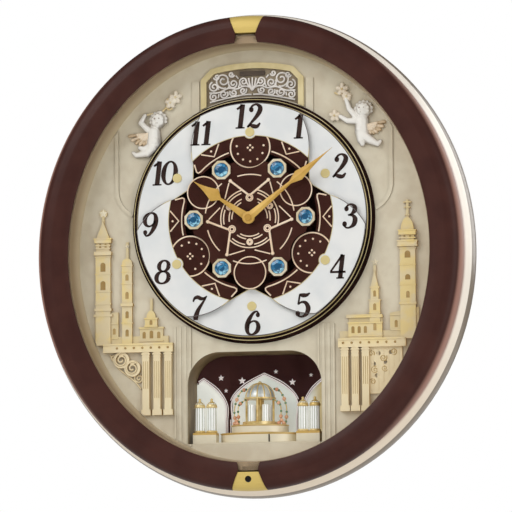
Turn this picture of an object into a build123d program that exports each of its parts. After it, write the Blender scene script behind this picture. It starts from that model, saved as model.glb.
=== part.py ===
from build123d import *
import math
import os

# Musical wall clock. The front faces -Y, +Z is up, and the wall is the plane y = 0.
# Depths are measured out from the wall, insets inward from the bezel's outer oval.

# Case
bezel_half_width = 227.0
bezel_half_height = 250.0
bezel_band = 33.6
crown_rise = 4.2
lip_edge = 1.2
rear_depth = 36.0
rear_inset = 17.0
rear_lip_inset = 4.0
shell_wall = 3.0
rim_swell = 10.0
rim_base = 2.0
ledge_depth = 27.0
ledge_inset = 24.0
pocket_depth = 21.0
pocket_inset = 12.0
rabbet_inset = 23.6
overrun = 5.0
seat_gap = 0.3
oval_share = 0.86
swell_shares = (0.45, 0.9, 1.0, 0.86, 0.5, 0.12)
crown_inset_shares = (0.0, 0.0, 0.1, 0.27, 0.45)
crown_rise_shares = (0.0, 0.5, 0.8, 0.95, 1.0)
bowl_inset_shares = (0.5, 0.66, 0.86, 1.0)
bowl_drop_shares = (0.0, 0.12, 0.45, 1.0)

# Bezel ends with their gold plates
notch_outer_half = 19.0
notch_waist_half = 10.4
notch_inner_half = 14.5
notch_waist = 25.0
notch_round = 8.0
plate_length = 19.0
plate_sink = 1.2
sensor_radius = 3.4
sensor_inset = 11.5
sensor_depth = 6.0
sensor_proud = 0.5

# Panel and the raised work on it
panel_thick = 3.0
reveal_flange = 2.5
reveal_top_inset = 34.6
reveal_foot_inset = 37.6
relief_rise = 7.8
rib_rise = 1.5
rib_x = 61.5
rib_width = 8.0
rib_length = 150.0
pilaster_x = 77.0
pilaster_width = 18.5
pilaster_length = 150.0
flute_width = 2.6
flute_depth = 0.8
flute_pitch = 5.6
niche_x = 148.0
niche_top = 136.0
niche_low = 72.0
niche_foot_x = 131.0
niche_foot = 45.0
niche_bow_x = 144.0
niche_bow = 57.0
niche_bar = 4.0
relief_margin = 1.5

# Dial, measured about its own axis
dial_rise = 36.0
dial_radius = 123.0
drum_radius = 127.5
drum_wall = 6.0
drum_height = 6.5
rim_radius = 128.5
rim_inner = 120.0
rim_thick = 1.7
dial_hole = 112.0
base_thick = 2.5
foot_reach = 2.2
foot_thick = 1.5
post_radius = 12.0
layer_gap = 1.3
pivot_radius = 92.0
back_petal_thick = 1.6
cap_radius = 4.9
cap_height = 1.2
cap_round = 0.5
backing_thick = 1.0
face_thick = 1.0
front_half_angle = 25.7
end_bow_radius = 103.5
end_bow_angle = 37.6
leaf_radius = 71.0
leaf_angle = 51.5
leaf_round = 5.5
medallion_centre = 75.5
medallion_radius = 21.0
number_inner = 88.4
tab_radius = 6.8
back_half_angle = 36.5
apex_radius = 72.5
apex_round = 11.0
shoulder_x = 31.0
shoulder_radius = 94.5

# Rosette with jewels
rosette_thick = 1.5
rosette_radius = 62.0
lobe_centre = 57.5
lobe_radius = 17.5
medallion_gap = 1.2
jewel_centre = 60.0
setting_radius = 10.6
setting_rise = 1.6
setting_bore = 7.7
jewel_radius = 7.4
jewel_table = 4.4
jewel_girdle = 1.0
jewel_rise = 1.2
jewel_sides = 8

# Hands and movement
hand_gap = 1.3
hand_thick = 1.2
hour_length = 74.0
hour_leaf_half = 7.6
minute_length = 115.0
minute_leaf_half = 5.8
hand_neck_half = 1.5
hand_root_half = 4.6
hand_hub_radius = 6.4
minute_angle = 51.7
neck_share = 0.5
shoulder_share = 0.6
leaf_taper_share = 0.36
leaf_mid_share = 0.78
hour_at = 10
arbor_radius = 1.6
hour_tube_radius = 2.9
tube_radius = 4.4
tube_sink = 5.0
fit_gap = 0.05
nut_radius = 3.6
nut_rise = 1.6
nut_bevel = 0.6
movement_side = 56.0
movement_thick = 16.0
movement_round = 4.0
knob_radius = 9.0
knob_thick = 9.0
knob_gap = 2.0
knob_grips = 12
knob_grip = 1.0
knob_reach = 6.0

# Petal drive
sun_teeth = 72
pinion_teeth = 20
motor_teeth = 12
tip_share = 0.85
root_share = 1.15
foot_share = 0.29
crest_share = 0.13
gear_clear = 5.5
gear_thick = 5.0
sun_boss = 10.0
shaft_radius = 2.5
gear_plate_gap = 3.0
gear_plate_thick = 3.0
gear_plate_radius = 122.0
stud_radius = 4.0
stud_circle = 117.0
motor_clock = 1
motor_radius = 14.0
motor_length = 22.0
motor_shaft_radius = 2.0

# Glass
glass_gap = 1.9
glass_thick = 2.0

# Cartouche
cartouche_half = 55.6
cartouche_shoulder = 187.0
cartouche_corner_half = 44.6
cartouche_corner = 198.6
cartouche_top = 204.0
cartouche_foot = 150.0
cartouche_gap = 3.0
cartouche_bar = 6.0
cartouche_rise = 3.5
scroll_rise = 2.2
scroll_width = 2.6
scroll_axis = 187.5
scroll_near = 14.0
scroll_far = 34.0
scroll_radius = 8.0
scroll_eye = 3.2
palmette_width = 9.0
palmette_height = 15.0

# Alcove
window_half = 71.8
window_top = -102.5
window_foot = -199.0
window_round = 34.0
alcove_wall = 2.0
alcove_back = 10.0
screen_half = 38.0
screen_back = 13.0
screen_front = 24.0
screen_thick = 2.5
arch_half = 35.0
side_arch_half = 23.0
side_arch_x = 63.0
arch_spring = 53.0
arch_apex = 79.0
arch_bow = 67.0
arch_bow_share = 0.6
side_arch_drop = 5.0
mirror_thick = 1.0
stage_slab = 1.5
stage_slab_half = 68.0
stage_slab_depth = 32.0
stage_half = 42.0
stage_half_depth = 21.5
stage_lower = 11.5
stage_upper_half = 30.5
stage_upper_half_depth = 19.5
stage_upper = 8.5
stage_step = 0.8
table_radius = 18.5
table_thick = 3.2
table_lift = 0.4
table_depth = 38.5
spindle_radius = 2.0
spindle_reach = 8.0
stage_motor_side = 22.0
stage_motor_height = 13.0
pavilion_radius = 14.5
pavilion_height = 24.0
pavilion_post = 1.2
pavilion_posts = 4
dome_radius = 17.0
dome_curb = 1.6
finial_radius = 2.2
crystal_circle = 10.5
crystal_radius = 4.2
crystal_height = 18.0
pedestal_x = 55.5
pedestal_width = 25.0
pedestal_depth = 14.0
pedestal_height = 12.0
pedestal_set = 53.0
bell_radius = 5.4
bell_height = 31.0
bell_offset = 6.4
bell_taper = 1.0

# Back of the case
well_width = 96.0
well_height = 40.0
well_z = -50.0
well_depth = 14.0
well_floor = 2.5
well_skin = 2.5
button_x = -32.0
button_radius = 5.0
button_collar = 6.8
button_out = 8.0
collar_thick = 1.5
collar_gap = 0.4
control_reach = 3.0
volume_x = 4.0
volume_radius = 9.0
volume_thick = 8.0
volume_shaft = 3.0
volume_notch = 1.6
board_width = 100.0
board_height = 62.0
board_thick = 1.6
board_margin = 8.0
chip_side = 14.0
chip_thick = 2.0
board_gap = 6.5
bay_x = 112.0
bay_z = 8.0
cell_radius = 13.0
cell_length = 50.0
cell_count = 3
cell_pitch = 26.8
bay_wall = 2.0
bay_gap = 1.0
door_thick = 2.4
door_gap = 0.3
door_lap = 3.0
door_grip = 14.0
door_grip_depth = 1.0
speaker_x = -112.0
speaker_z = 8.0
speaker_radius = 38.0
speaker_depth = 20.0
speaker_flange = 2.5
speaker_cone_share = 0.45
grille_slots = 7
grille_pitch = 9.0
grille_width = 3.6
hanger_z = 176.0
hanger_width = 56.0
hanger_height = 40.0
hanger_thick = 2.0
hanger_bore = 5.5
hanger_slot = 5.0
hanger_slide = 11.0
hanger_relief = 9.0
hanger_lap = 4.0
screw_count = 6
screw_inset = 21.5
boss_radius = 4.6
screw_radius = 1.5
screw_hole = 1.7
screw_head = 3.1
screw_head_thick = 2.2
screw_sink = 3.0
screw_bite = 12.0

# Cherubs: places on the panel (x, z), then the radii of their rounded forms
left_head_at = (-105.5, 144.0)
left_chest_at = (-109.0, 132.0)
left_hip_at = (-112.5, 119.5)
left_hand_at = (-121.5, 149.0)
left_stem_at = (-99.5, 154.5)
left_bloom_at = (-83.0, 169.5)
left_foot_at = (-115.0, 108.5)
left_heel_at = (-128.0, 110.5)
left_wing_at = (-114.5, 128.0)
left_wing_lean = 95.0
right_head_at = (118.5, 150.0)
right_chest_at = (117.5, 138.0)
right_hip_at = (117.0, 124.0)
right_hand_at = (101.5, 160.5)
right_bloom_at = (97.0, 171.5)
right_palm_at = (102.0, 140.0)
right_posy_at = (88.5, 145.5)
right_foot_at = (119.0, 112.5)
right_heel_at = (134.0, 114.0)
right_wing_at = (121.5, 132.0)
right_wing_lean = -85.0
head_radius = 9.6
chest_radius = 8.2
hip_radius = 9.0
arm_radius = 4.2
hand_radius = 2.8
thigh_radius = 5.6
foot_radius = 3.6
stem_radius = 1.8
stem_tip_radius = 1.4
limb_rise = 7.2
limb_seat_share = 0.8
feather_long = 11.0
feather_half = 3.6
feather_rise = 3.4
feather_fan = 26.0
feather_count = 3
bloom_petals = 5
bloom_petal = 3.0
bloom_ring = 4.6
bloom_rise = 4.6

# Skylines, measured out from the middle of the case
tower_x = 162.7
tower_base_near = 146.4
tower_base_far = 172.0
tower_half = 8.1
tower_foot = -93.0
tower_block = -58.0
gallery_half = 9.4
gallery_foot = 3.0
gallery_top = 7.0
belfry_half = 7.2
belfry_top = 21.0
cornice_foot = 16.0
cornice_half = 9.0
star_foot = 44.0
star_top = 51.5
star_half = 4.2
star_waist = 1.4
spire_top = 39.5
turret_x = 136.5
turret_half = 5.4
turret_eaves = -6.0
turret_cap = 5.0
turret_ring = -52.0
turret_ring_half = 6.6
ring_height = 3.0
turret_top = 16.5
house_x = 110.5
house_half = 12.6
house_eaves = -75.0
dome_half = 5.0
dome_rise = 8.0
dome_foot = -65.0
dome_spike = -44.0
drum_half = 6.6
spike_half = 1.4
row_near = 92.0
row_far = 164.0
row_eaves = -84.0
lintel_near = 86.8
lintel_far = 162.3
lintel_top = -92.0
lintel_foot = -101.0
column_near = 92.0
column_pitch = 12.0
column_count = 3
column_half = 3.7
column_foot = -168.0
plinth_half = 5.0
plinth_height = 6.0
volute_spots = ((143.0, -109.0), (131.0, -118.0))
volute_radius = 8.4
volute_bar = 2.6
volute_eye = 2.6
hall_near = 101.5
hall_far = 137.5
hall_top = -67.0
hall_cornice = -70.0
hall_ledge = -76.0
hall_lap = 2.0
minaret_x = 129.7
minaret_half = 5.6
minaret_step = -52.0
minaret_upper_half = 4.2
minaret_eaves = -38.5
minaret_top = -21.0
west_tower_x = 165.0
west_tower_half = 8.2
west_tower_eaves = 3.5
west_gallery_half = 10.2
west_gallery_top = 9.5
west_loft_half = 9.0
west_loft_foot = 15.5
west_loft_top = 20.5
west_dome_half = 6.8
west_dome_rise = 13.5
west_spike_top = 52.5
west_base_near = 145.5
west_base_far = 176.0
west_base_low = -66.0
west_base_high = -60.0
west_lintel_near = 90.6
west_column_near = 97.6
west_column_pitch = 11.0
lattice_near = 123.0
lattice_far = 158.0
lattice_foot = -150.0
lattice_hole = 2.2
lattice_spots = ((133.0, -108.0), (146.0, -107.0), (128.0, -119.0), (140.0, -117.0), (131.0, -131.0))
skyline_low = 2.6
skyline_mid = 4.4
skyline_high = 6.2

# Depths that follow from the sizes above
rim_front = rear_depth + ledge_depth + pocket_depth
rim_depth = ledge_depth + pocket_depth
panel_back = rear_depth + ledge_depth
panel_front = panel_back + panel_thick
base_front = panel_front + base_thick
dial_foot_radius = rim_radius + foot_reach
drum_front = panel_front + drum_height
dial_rim_front = drum_front + rim_thick
back_petal_depth = dial_rim_front + layer_gap
back_petal_front = back_petal_depth + back_petal_thick
front_petal_depth = back_petal_front + cap_height + layer_gap
face_depth = front_petal_depth + backing_thick
front_petal_front = face_depth + face_thick
rosette_depth = front_petal_front + cap_height + layer_gap
rosette_front = rosette_depth + rosette_thick
jewel_front = rosette_front + setting_rise + jewel_rise
hour_depth = jewel_front + hand_gap
minute_depth = hour_depth + hand_thick + hand_gap
minute_front = minute_depth + hand_thick
glass_back = minute_front + nut_rise + glass_gap
glass_front = glass_back + glass_thick
crest = glass_front + crown_rise
gear_front = panel_front - gear_clear
gear_back = gear_front - gear_thick
gear_plate_front = gear_back - gear_plate_gap
gear_plate_back = gear_plate_front - gear_plate_thick
movement_back = gear_plate_back - movement_thick
gear_module = 2 * pivot_radius / (sun_teeth + pinion_teeth)
motor_distance = gear_module * (sun_teeth + motor_teeth) / 2
alcove_height = window_top - window_foot
stage_top = window_foot + stage_lower + stage_upper
well_face = well_depth + well_floor
board_back = well_face + board_gap
front_clocks = (12, 4, 8)
back_clocks = (2, 6, 10)
hours_round = 12
clock_step = 360 / hours_round
square = 90

os.makedirs("parts", exist_ok=True)


def front(depth, x=0, z=0):
    """Plane that faces the viewer, at a depth off the wall."""
    return Plane(origin=(x, -depth, z), x_dir=(1, 0, 0), z_dir=(0, -1, 0))


def level(height, x=0, depth=0):
    """Level plane, its x axis to the right and its y axis away from the viewer."""
    return Plane(origin=(x, -depth, height), x_dir=(1, 0, 0), z_dir=(0, 0, 1))


def polar(radius, angle):
    """Point at an angle clockwise from straight up."""
    turn = math.radians(angle)
    return (radius * math.sin(turn), radius * math.cos(turn))


def dial_plane(depth, clock):
    """Plane on the dial's axis whose y axis points to an hour."""
    across, up = polar(1, clock * clock_step + square)
    return Plane(origin=(0, -depth, dial_rise), x_dir=(across, 0, up), z_dir=(0, -1, 0))


def hour_spot(radius, clock):
    """Place on the front of the case at an hour, a radius from the dial's axis."""
    across, up = polar(radius, clock * clock_step)
    return across, dial_rise + up


def oval_axes(inset):
    """Half width and half height of the case's oval at an inset."""
    return bezel_half_width - inset, bezel_half_height - inset * oval_share


def oval_loft(sections):
    """Solid through ovals given as (inset, depth)."""
    with BuildPart() as body:
        for inset, depth in sections:
            with BuildSketch(front(depth)):
                Ellipse(*oval_axes(inset))
        loft()
    return body.part


def oval_block(inset, near, far):
    """Straight oval block between two depths."""
    with BuildPart() as body:
        with BuildSketch(front(near)):
            Ellipse(*oval_axes(inset))
        extrude(amount=far - near)
    return body.part


def gear_face(teeth, turn):
    """Gear outline with straight flanks; one tooth points along the angle turn."""
    pitch = 2 * math.pi / teeth
    root = gear_module * (teeth / 2 - root_share)
    tip = gear_module * (teeth / 2 + tip_share)
    steps = ((root, -foot_share), (tip, -crest_share), (tip, crest_share), (root, foot_share))
    corners = []
    for tooth in range(teeth):
        for radius, lead in steps:
            angle = math.radians(turn) + (tooth + lead) * pitch
            corners.append((radius * math.cos(angle), radius * math.sin(angle)))
    with BuildSketch() as face:
        with BuildLine():
            Polyline(*corners, close=True)
        make_face()
    return face.sketch


def save(part, name):
    """Labels a finished piece and writes its file."""
    part.label = name
    export_step(part, f"parts/{name}.step")


# Case ring: a champagne moulding that swells out behind the bezel
rim_steps = len(swell_shares) - 1
rim_skin = oval_loft(
    [
        (rim_base - rim_swell * share, rear_depth + rim_depth * place / rim_steps)
        for place, share in enumerate(swell_shares)
    ]
)
ledge_bore = oval_block(ledge_inset, rear_depth - overrun, rim_front + overrun)
pocket_bore = oval_block(pocket_inset, panel_back, rim_front + overrun)
screw_axes = oval_axes(screw_inset)
screw_spots = [
    (screw_axes[0] * math.cos(turn), screw_axes[1] * math.sin(turn))
    for turn in (2 * math.pi * (place + 1 / 2) / screw_count for place in range(screw_count))
]
with BuildPart() as case_ring:
    add(rim_skin)
    add(ledge_bore, mode=Mode.SUBTRACT)
    add(pocket_bore, mode=Mode.SUBTRACT)
    with BuildSketch(front(rear_depth)):
        with Locations(*screw_spots):
            Circle(screw_radius + fit_gap)
    extrude(amount=screw_bite + collar_gap, mode=Mode.SUBTRACT)
save(case_ring.part, "case_ring")

# Bezel: a crowned band with a lip over the glass, parted at top and bottom
crown = oval_loft(
    [
        (bezel_band * inset, rim_front + (crest - rim_front) * rise)
        for inset, rise in zip(crown_inset_shares, crown_rise_shares)
    ]
)
bowl_depth = crown_rise - lip_edge
bowl = oval_loft(
    [
        (bezel_band * inset, crest - bowl_depth * drop)
        for inset, drop in zip(bowl_inset_shares, bowl_drop_shares)
    ]
)
lip_bore = oval_block(bezel_band, rim_front, glass_front + lip_edge)
rabbet = oval_block(rabbet_inset, rim_front, glass_front)
with BuildPart() as bezel_ring:
    add(crown)
    add(bowl, mode=Mode.SUBTRACT)
    add(lip_bore, mode=Mode.SUBTRACT)
    add(rabbet, mode=Mode.SUBTRACT)

inner_reach = bezel_half_height - bezel_band - overrun
waist_reach = bezel_half_height - notch_waist * oval_share
with BuildSketch() as notch:
    with BuildLine():
        Polyline(
            (notch_outer_half, bezel_half_height + overrun),
            (notch_outer_half, bezel_half_height),
            (notch_waist_half, waist_reach),
            (notch_inner_half, inner_reach),
            (-notch_inner_half, inner_reach),
            (-notch_waist_half, waist_reach),
            (-notch_outer_half, bezel_half_height),
            (-notch_outer_half, bezel_half_height + overrun),
            close=True,
        )
    make_face()
    fillet(notch.vertices().group_by(Axis.Y)[1], radius=notch_round)

with BuildPart() as bezel_halves:
    add(bezel_ring.part)
    with BuildSketch(front(rim_front)):
        add(notch.sketch)
        mirror(notch.sketch, about=Plane.XZ)
    extrude(amount=crest - rim_front + overrun, mode=Mode.SUBTRACT)
left_half, right_half = bezel_halves.part.solids().sort_by(Axis.X)
for half, name in ((left_half, "bezel_left"), (right_half, "bezel_right")):
    with BuildPart() as bezel_half:
        add(half)
    save(bezel_half.part, name)

# Gold plates fill the outer part of each gap; the lower one holds the light sensor
plate_foot = bezel_half_height - plate_length
plate_slope = (notch_outer_half - notch_waist_half) / (bezel_half_height - waist_reach)
plate_foot_half = notch_outer_half - plate_slope * plate_length - seat_gap
plate_head_half = notch_outer_half - seat_gap
with BuildSketch() as plate_outline:
    with BuildLine():
        Polyline(
            (plate_head_half, bezel_half_height + overrun),
            (plate_head_half, bezel_half_height),
            (plate_foot_half, plate_foot),
            (-plate_foot_half, plate_foot),
            (-plate_head_half, bezel_half_height),
            (-plate_head_half, bezel_half_height + overrun),
            close=True,
        )
    make_face()
sunk_ring = Pos(0, plate_sink, 0) * bezel_ring.part
sensor_z = sensor_inset - bezel_half_height
sensor_seat = crest - sensor_depth
for side, name in ((1, "top_plate"), (-1, "bottom_plate")):
    with BuildPart() as gold_plate:
        with BuildSketch(front(rim_front)):
            add(plate_outline.sketch)
            if side < 0:
                mirror(about=Plane.XZ, mode=Mode.REPLACE)
        extrude(amount=crest - rim_front)
        add(sunk_ring, mode=Mode.INTERSECT)
        if side < 0:
            with BuildSketch(front(sensor_seat, 0, sensor_z)):
                Circle(sensor_radius + fit_gap)
            extrude(amount=sensor_depth, mode=Mode.SUBTRACT)
    save(gold_plate.part, name)
    plate_face = -gold_plate.part.bounding_box().min.Y

with BuildPart() as light_sensor:
    with BuildSketch(front(sensor_seat, 0, sensor_z)):
        Circle(sensor_radius)
    extrude(amount=plate_face - sensor_seat - plate_sink + sensor_proud)
    fillet(light_sensor.faces().sort_by(Axis.Y)[0].edges(), radius=sensor_proud)
save(light_sensor.part, "light_sensor")

# Front glass on the reveal ring, both inside the bezel
with BuildPart() as front_glass:
    with BuildSketch(front(glass_back)):
        Ellipse(*oval_axes(rabbet_inset + seat_gap))
    extrude(amount=glass_thick)
save(front_glass.part, "front_glass")

reveal_bore = oval_loft([(reveal_foot_inset, panel_front), (reveal_top_inset, glass_back)])
with BuildPart() as reveal_ring:
    with BuildSketch(front(panel_front)):
        Ellipse(*oval_axes(rabbet_inset + seat_gap))
    extrude(amount=glass_back - panel_front)
    with BuildSketch(front(panel_front)):
        Ellipse(*oval_axes(pocket_inset + seat_gap))
    extrude(amount=reveal_flange)
    add(reveal_bore, mode=Mode.SUBTRACT)
save(reveal_ring.part, "reveal_ring")

# Panel: ribs above the dial, fluted pilasters beside the window, two niche frames
relief_field = oval_axes(reveal_foot_inset + relief_margin)
with BuildSketch() as window:
    with BuildLine():
        Polyline(
            (-window_half, window_foot),
            (-window_half, window_top),
            (window_half, window_top),
            (window_half, window_foot),
            close=True,
        )
    make_face()
    fillet(window.vertices().group_by(Axis.Y)[-1], radius=window_round)

with BuildSketch() as niche_frames:
    with BuildLine() as niche_line:
        upright = Line((niche_x, niche_top), (niche_x, niche_low))
        ThreePointArc(upright @ 1, (niche_bow_x, niche_bow), (niche_foot_x, niche_foot))
    trace(line_width=niche_bar)
    mirror(about=Plane.YZ)

with BuildPart() as dial_panel:
    with BuildSketch(front(panel_back)):
        Ellipse(*oval_axes(pocket_inset + seat_gap))
        with Locations((0, dial_rise)):
            Circle(dial_hole, mode=Mode.SUBTRACT)
        add(window.sketch, mode=Mode.SUBTRACT)
    extrude(amount=panel_thick)
    with BuildSketch(front(panel_front)):
        with Locations((-rib_x, dial_rise + rib_length / 2), (rib_x, dial_rise + rib_length / 2)):
            Rectangle(rib_width, rib_length)
        with Locations((-pilaster_x, -pilaster_length / 2), (pilaster_x, -pilaster_length / 2)):
            Rectangle(pilaster_width, pilaster_length, align=(Align.CENTER, Align.MAX))
        add(niche_frames.sketch)
        with Locations((0, dial_rise)):
            Circle(dial_foot_radius + seat_gap, mode=Mode.SUBTRACT)
        add(window.sketch, mode=Mode.SUBTRACT)
        Ellipse(*relief_field, mode=Mode.INTERSECT)
    extrude(amount=rib_rise)
    with BuildSketch(front(panel_front + rib_rise)):
        for side in (-1, 1):
            with Locations((side * pilaster_x, -pilaster_length / 2)):
                with GridLocations(flute_pitch, 0, 3, 1):
                    Rectangle(flute_width, pilaster_length, align=(Align.CENTER, Align.MAX))
    extrude(amount=-flute_depth, mode=Mode.SUBTRACT)
save(dial_panel.part, "dial_panel")

# Cartouche above the dial: an arched gold frame round a scroll spray, its middle left bare
with BuildSketch() as cartouche_shape:
    with BuildLine():
        Polyline(
            (-cartouche_corner_half, cartouche_corner),
            (-cartouche_half, cartouche_shoulder),
            (-cartouche_half, cartouche_foot),
            (cartouche_half, cartouche_foot),
            (cartouche_half, cartouche_shoulder),
            (cartouche_corner_half, cartouche_corner),
        )
        ThreePointArc(
            (cartouche_corner_half, cartouche_corner),
            (0, cartouche_top),
            (-cartouche_corner_half, cartouche_corner),
        )
    make_face()

with BuildPart() as cartouche_frame:
    with BuildSketch(front(panel_front)):
        add(cartouche_shape.sketch)
        offset(cartouche_shape.sketch, amount=-cartouche_bar, mode=Mode.SUBTRACT)
        with Locations((0, dial_rise)):
            Circle(rim_radius + cartouche_gap, mode=Mode.SUBTRACT)
    extrude(amount=cartouche_rise)
save(cartouche_frame.part, "cartouche_frame")

with BuildPart() as cartouche_scrolls:
    with BuildSketch(front(panel_front)):
        with BuildLine():
            Line((-scroll_far, scroll_axis), (scroll_far, scroll_axis))
        trace(line_width=scroll_width)
        for side in (-1, 1):
            for reach, rise in ((scroll_near, -scroll_radius), (scroll_far, -scroll_radius)):
                with Locations((side * reach, scroll_axis + rise)):
                    Circle(scroll_radius + scroll_width / 2)
                    Circle(scroll_radius - scroll_width / 2, mode=Mode.SUBTRACT)
                with Locations((side * reach, scroll_axis + rise - scroll_radius + scroll_eye)):
                    Circle(scroll_eye)
        with Locations((0, scroll_axis - palmette_height / 2)):
            Ellipse(palmette_width / 2, palmette_height / 2)
    extrude(amount=scroll_rise)
save(cartouche_scrolls.part, "cartouche_scrolls")


def relief_point(spot, radius, rise):
    """Centre of a rounded form: large forms reach a height off the panel, small ones lie on it."""
    return Vector(spot[0], -(panel_front + min(radius * limb_seat_share, rise - radius)), spot[1])


def limb(start, end, start_radius, end_radius, rise=limb_rise):
    """Tapered limb with round ends, added to the figure being built."""
    first = relief_point(start, start_radius, rise)
    last = relief_point(end, end_radius, rise)
    span = (last - first).length
    lean = math.asin((start_radius - end_radius) / span)
    across, along = math.cos(lean), math.sin(lean)
    turn = math.degrees(lean)
    with BuildSketch() as profile:
        with BuildLine():
            CenterArc((0, 0), start_radius, square - turn, square + turn)
            Line((start_radius * along, start_radius * across), (span + end_radius * along, end_radius * across))
            CenterArc((span, 0), end_radius, 0, square - turn)
            Line((span + end_radius, 0), (-start_radius, 0))
        make_face()
    form = revolve(profile.sketch, axis=Axis.X, mode=Mode.PRIVATE)
    add(Plane(origin=first, x_dir=last - first, z_dir=(last - first).cross(Vector(0, 1, 0))).location * form)


def wing(root, lean):
    """Fan of feathers from a root on the panel."""
    for place in range(feather_count):
        turn = lean + (place - (feather_count - 1) / 2) * feather_fan
        across, up = polar(feather_long, -turn)
        with BuildSketch(front(panel_front, root[0] + across, root[1] + up)) as feather:
            Ellipse(feather_half, feather_long, rotation=turn)
        extrude(feather.sketch, amount=feather_rise)


def bloom(spot):
    """Five-petalled flower held out by a figure."""
    with BuildSketch(front(panel_front, *spot)) as flower:
        Circle(bloom_ring)
        with PolarLocations(bloom_ring, bloom_petals, start_angle=square):
            Circle(bloom_petal)
    extrude(flower.sketch, amount=bloom_rise)


# Cherubs in low relief, each one moulding with its wing and flowers
with BuildPart() as cherub_left:
    limb(left_chest_at, left_hip_at, chest_radius, hip_radius, relief_rise)
    with Locations(relief_point(left_head_at, head_radius, relief_rise)):
        Sphere(head_radius)
    limb(left_chest_at, left_hand_at, arm_radius, hand_radius)
    limb(left_chest_at, left_stem_at, arm_radius, hand_radius)
    limb(left_stem_at, left_bloom_at, stem_radius, stem_tip_radius)
    limb(left_hip_at, left_foot_at, thigh_radius, foot_radius)
    limb(left_hip_at, left_heel_at, thigh_radius, foot_radius)
    wing(left_wing_at, left_wing_lean)
    bloom(left_bloom_at)
    split(bisect_by=front(panel_front), keep=Keep.TOP)
save(cherub_left.part, "cherub_left")

with BuildPart() as cherub_right:
    limb(right_chest_at, right_hip_at, chest_radius, hip_radius, relief_rise)
    with Locations(relief_point(right_head_at, head_radius, relief_rise)):
        Sphere(head_radius)
    limb(right_chest_at, right_hand_at, arm_radius, hand_radius)
    limb(right_chest_at, right_palm_at, arm_radius, hand_radius)
    limb(right_palm_at, right_posy_at, stem_radius, stem_tip_radius)
    limb(right_hand_at, right_bloom_at, stem_radius, stem_tip_radius)
    limb(right_hip_at, right_foot_at, thigh_radius, foot_radius)
    limb(right_hip_at, right_heel_at, thigh_radius, foot_radius)
    wing(right_wing_at, right_wing_lean)
    bloom(right_bloom_at)
    bloom(right_posy_at)
    split(bisect_by=front(panel_front), keep=Keep.TOP)
save(cherub_right.part, "cherub_right")


def bar(near, far, foot, top):
    """Upright rectangle of a skyline, between two distances left of the middle."""
    with Locations((-(near + far) / 2, (foot + top) / 2)):
        Rectangle(far - near, top - foot)


def spire(x, half, foot, top):
    """Pointed roof of a skyline."""
    Polygon((-x - half, foot), (-x + half, foot), (-x, top), align=None)


def stack(x, half, foot, top):
    """Upright storey of a tower, centred on its axis."""
    bar(x - half, x + half, foot, top)


def dome(x, half, foot, rise):
    """Half round roof of a skyline."""
    with Locations((-x, foot)):
        Ellipse(half, rise)


def skyline_trim():
    """Keeps a skyline inside the panel's field and clear of the dial."""
    Ellipse(*relief_field, mode=Mode.INTERSECT)
    with Locations((0, dial_rise)):
        Circle(dial_foot_radius + seat_gap, mode=Mode.SUBTRACT)


def colonnade(near, first, pitch):
    """Lintel on a row of columns, counted out from the middle."""
    bar(near, lintel_far, lintel_foot, lintel_top)
    for place in range(column_count):
        stack(first + pitch * place, column_half, column_foot, lintel_top)
        stack(first + pitch * place, plinth_half, column_foot, column_foot + plinth_height)


# Left skyline: a spired tower, a turret and a domed house on a lintel, columns and volutes below
with BuildPart() as skyline_left:
    with BuildSketch(front(panel_front)):
        bar(row_near, row_far, lintel_top, row_eaves)
        bar(tower_base_near, tower_base_far, tower_foot, tower_block)
        stack(house_x, house_half, lintel_top, house_eaves)
        stack(house_x, spike_half, house_eaves, dome_spike)
        stack(tower_x, star_waist, belfry_top, star_top)
        dome(tower_x, star_half, (star_foot + star_top) / 2, star_half)
        stack(turret_x, spike_half, turret_eaves, turret_top)
        skyline_trim()
    extrude(amount=skyline_low)
    with BuildSketch(front(panel_front)):
        stack(tower_x, tower_half, tower_foot, gallery_foot)
        stack(tower_x, belfry_half, gallery_foot, belfry_top)
        spire(tower_x, belfry_half, belfry_top, spire_top)
        stack(turret_x, turret_half, tower_foot, turret_eaves)
        dome(turret_x, turret_half, turret_eaves, turret_cap)
        stack(house_x, drum_half, house_eaves, dome_foot)
        dome(house_x, dome_half, dome_foot, dome_rise)
        for spot in volute_spots:
            with Locations((-spot[0], spot[1])):
                Circle(volute_radius + seat_gap)
                Circle(volute_radius - volute_bar, mode=Mode.SUBTRACT)
            with Locations((-spot[0], spot[1] + volute_radius - volute_bar)):
                Circle(volute_eye)
        skyline_trim()
    extrude(amount=skyline_mid)
    with BuildSketch(front(panel_front)):
        colonnade(lintel_near, column_near, column_pitch)
        stack(tower_x, gallery_half, gallery_foot, gallery_top)
        stack(tower_x, cornice_half, cornice_foot, belfry_top)
        stack(turret_x, turret_ring_half, turret_ring, turret_ring + ring_height)
        skyline_trim()
    extrude(amount=skyline_high)
save(skyline_left.part, "skyline_left")

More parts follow.
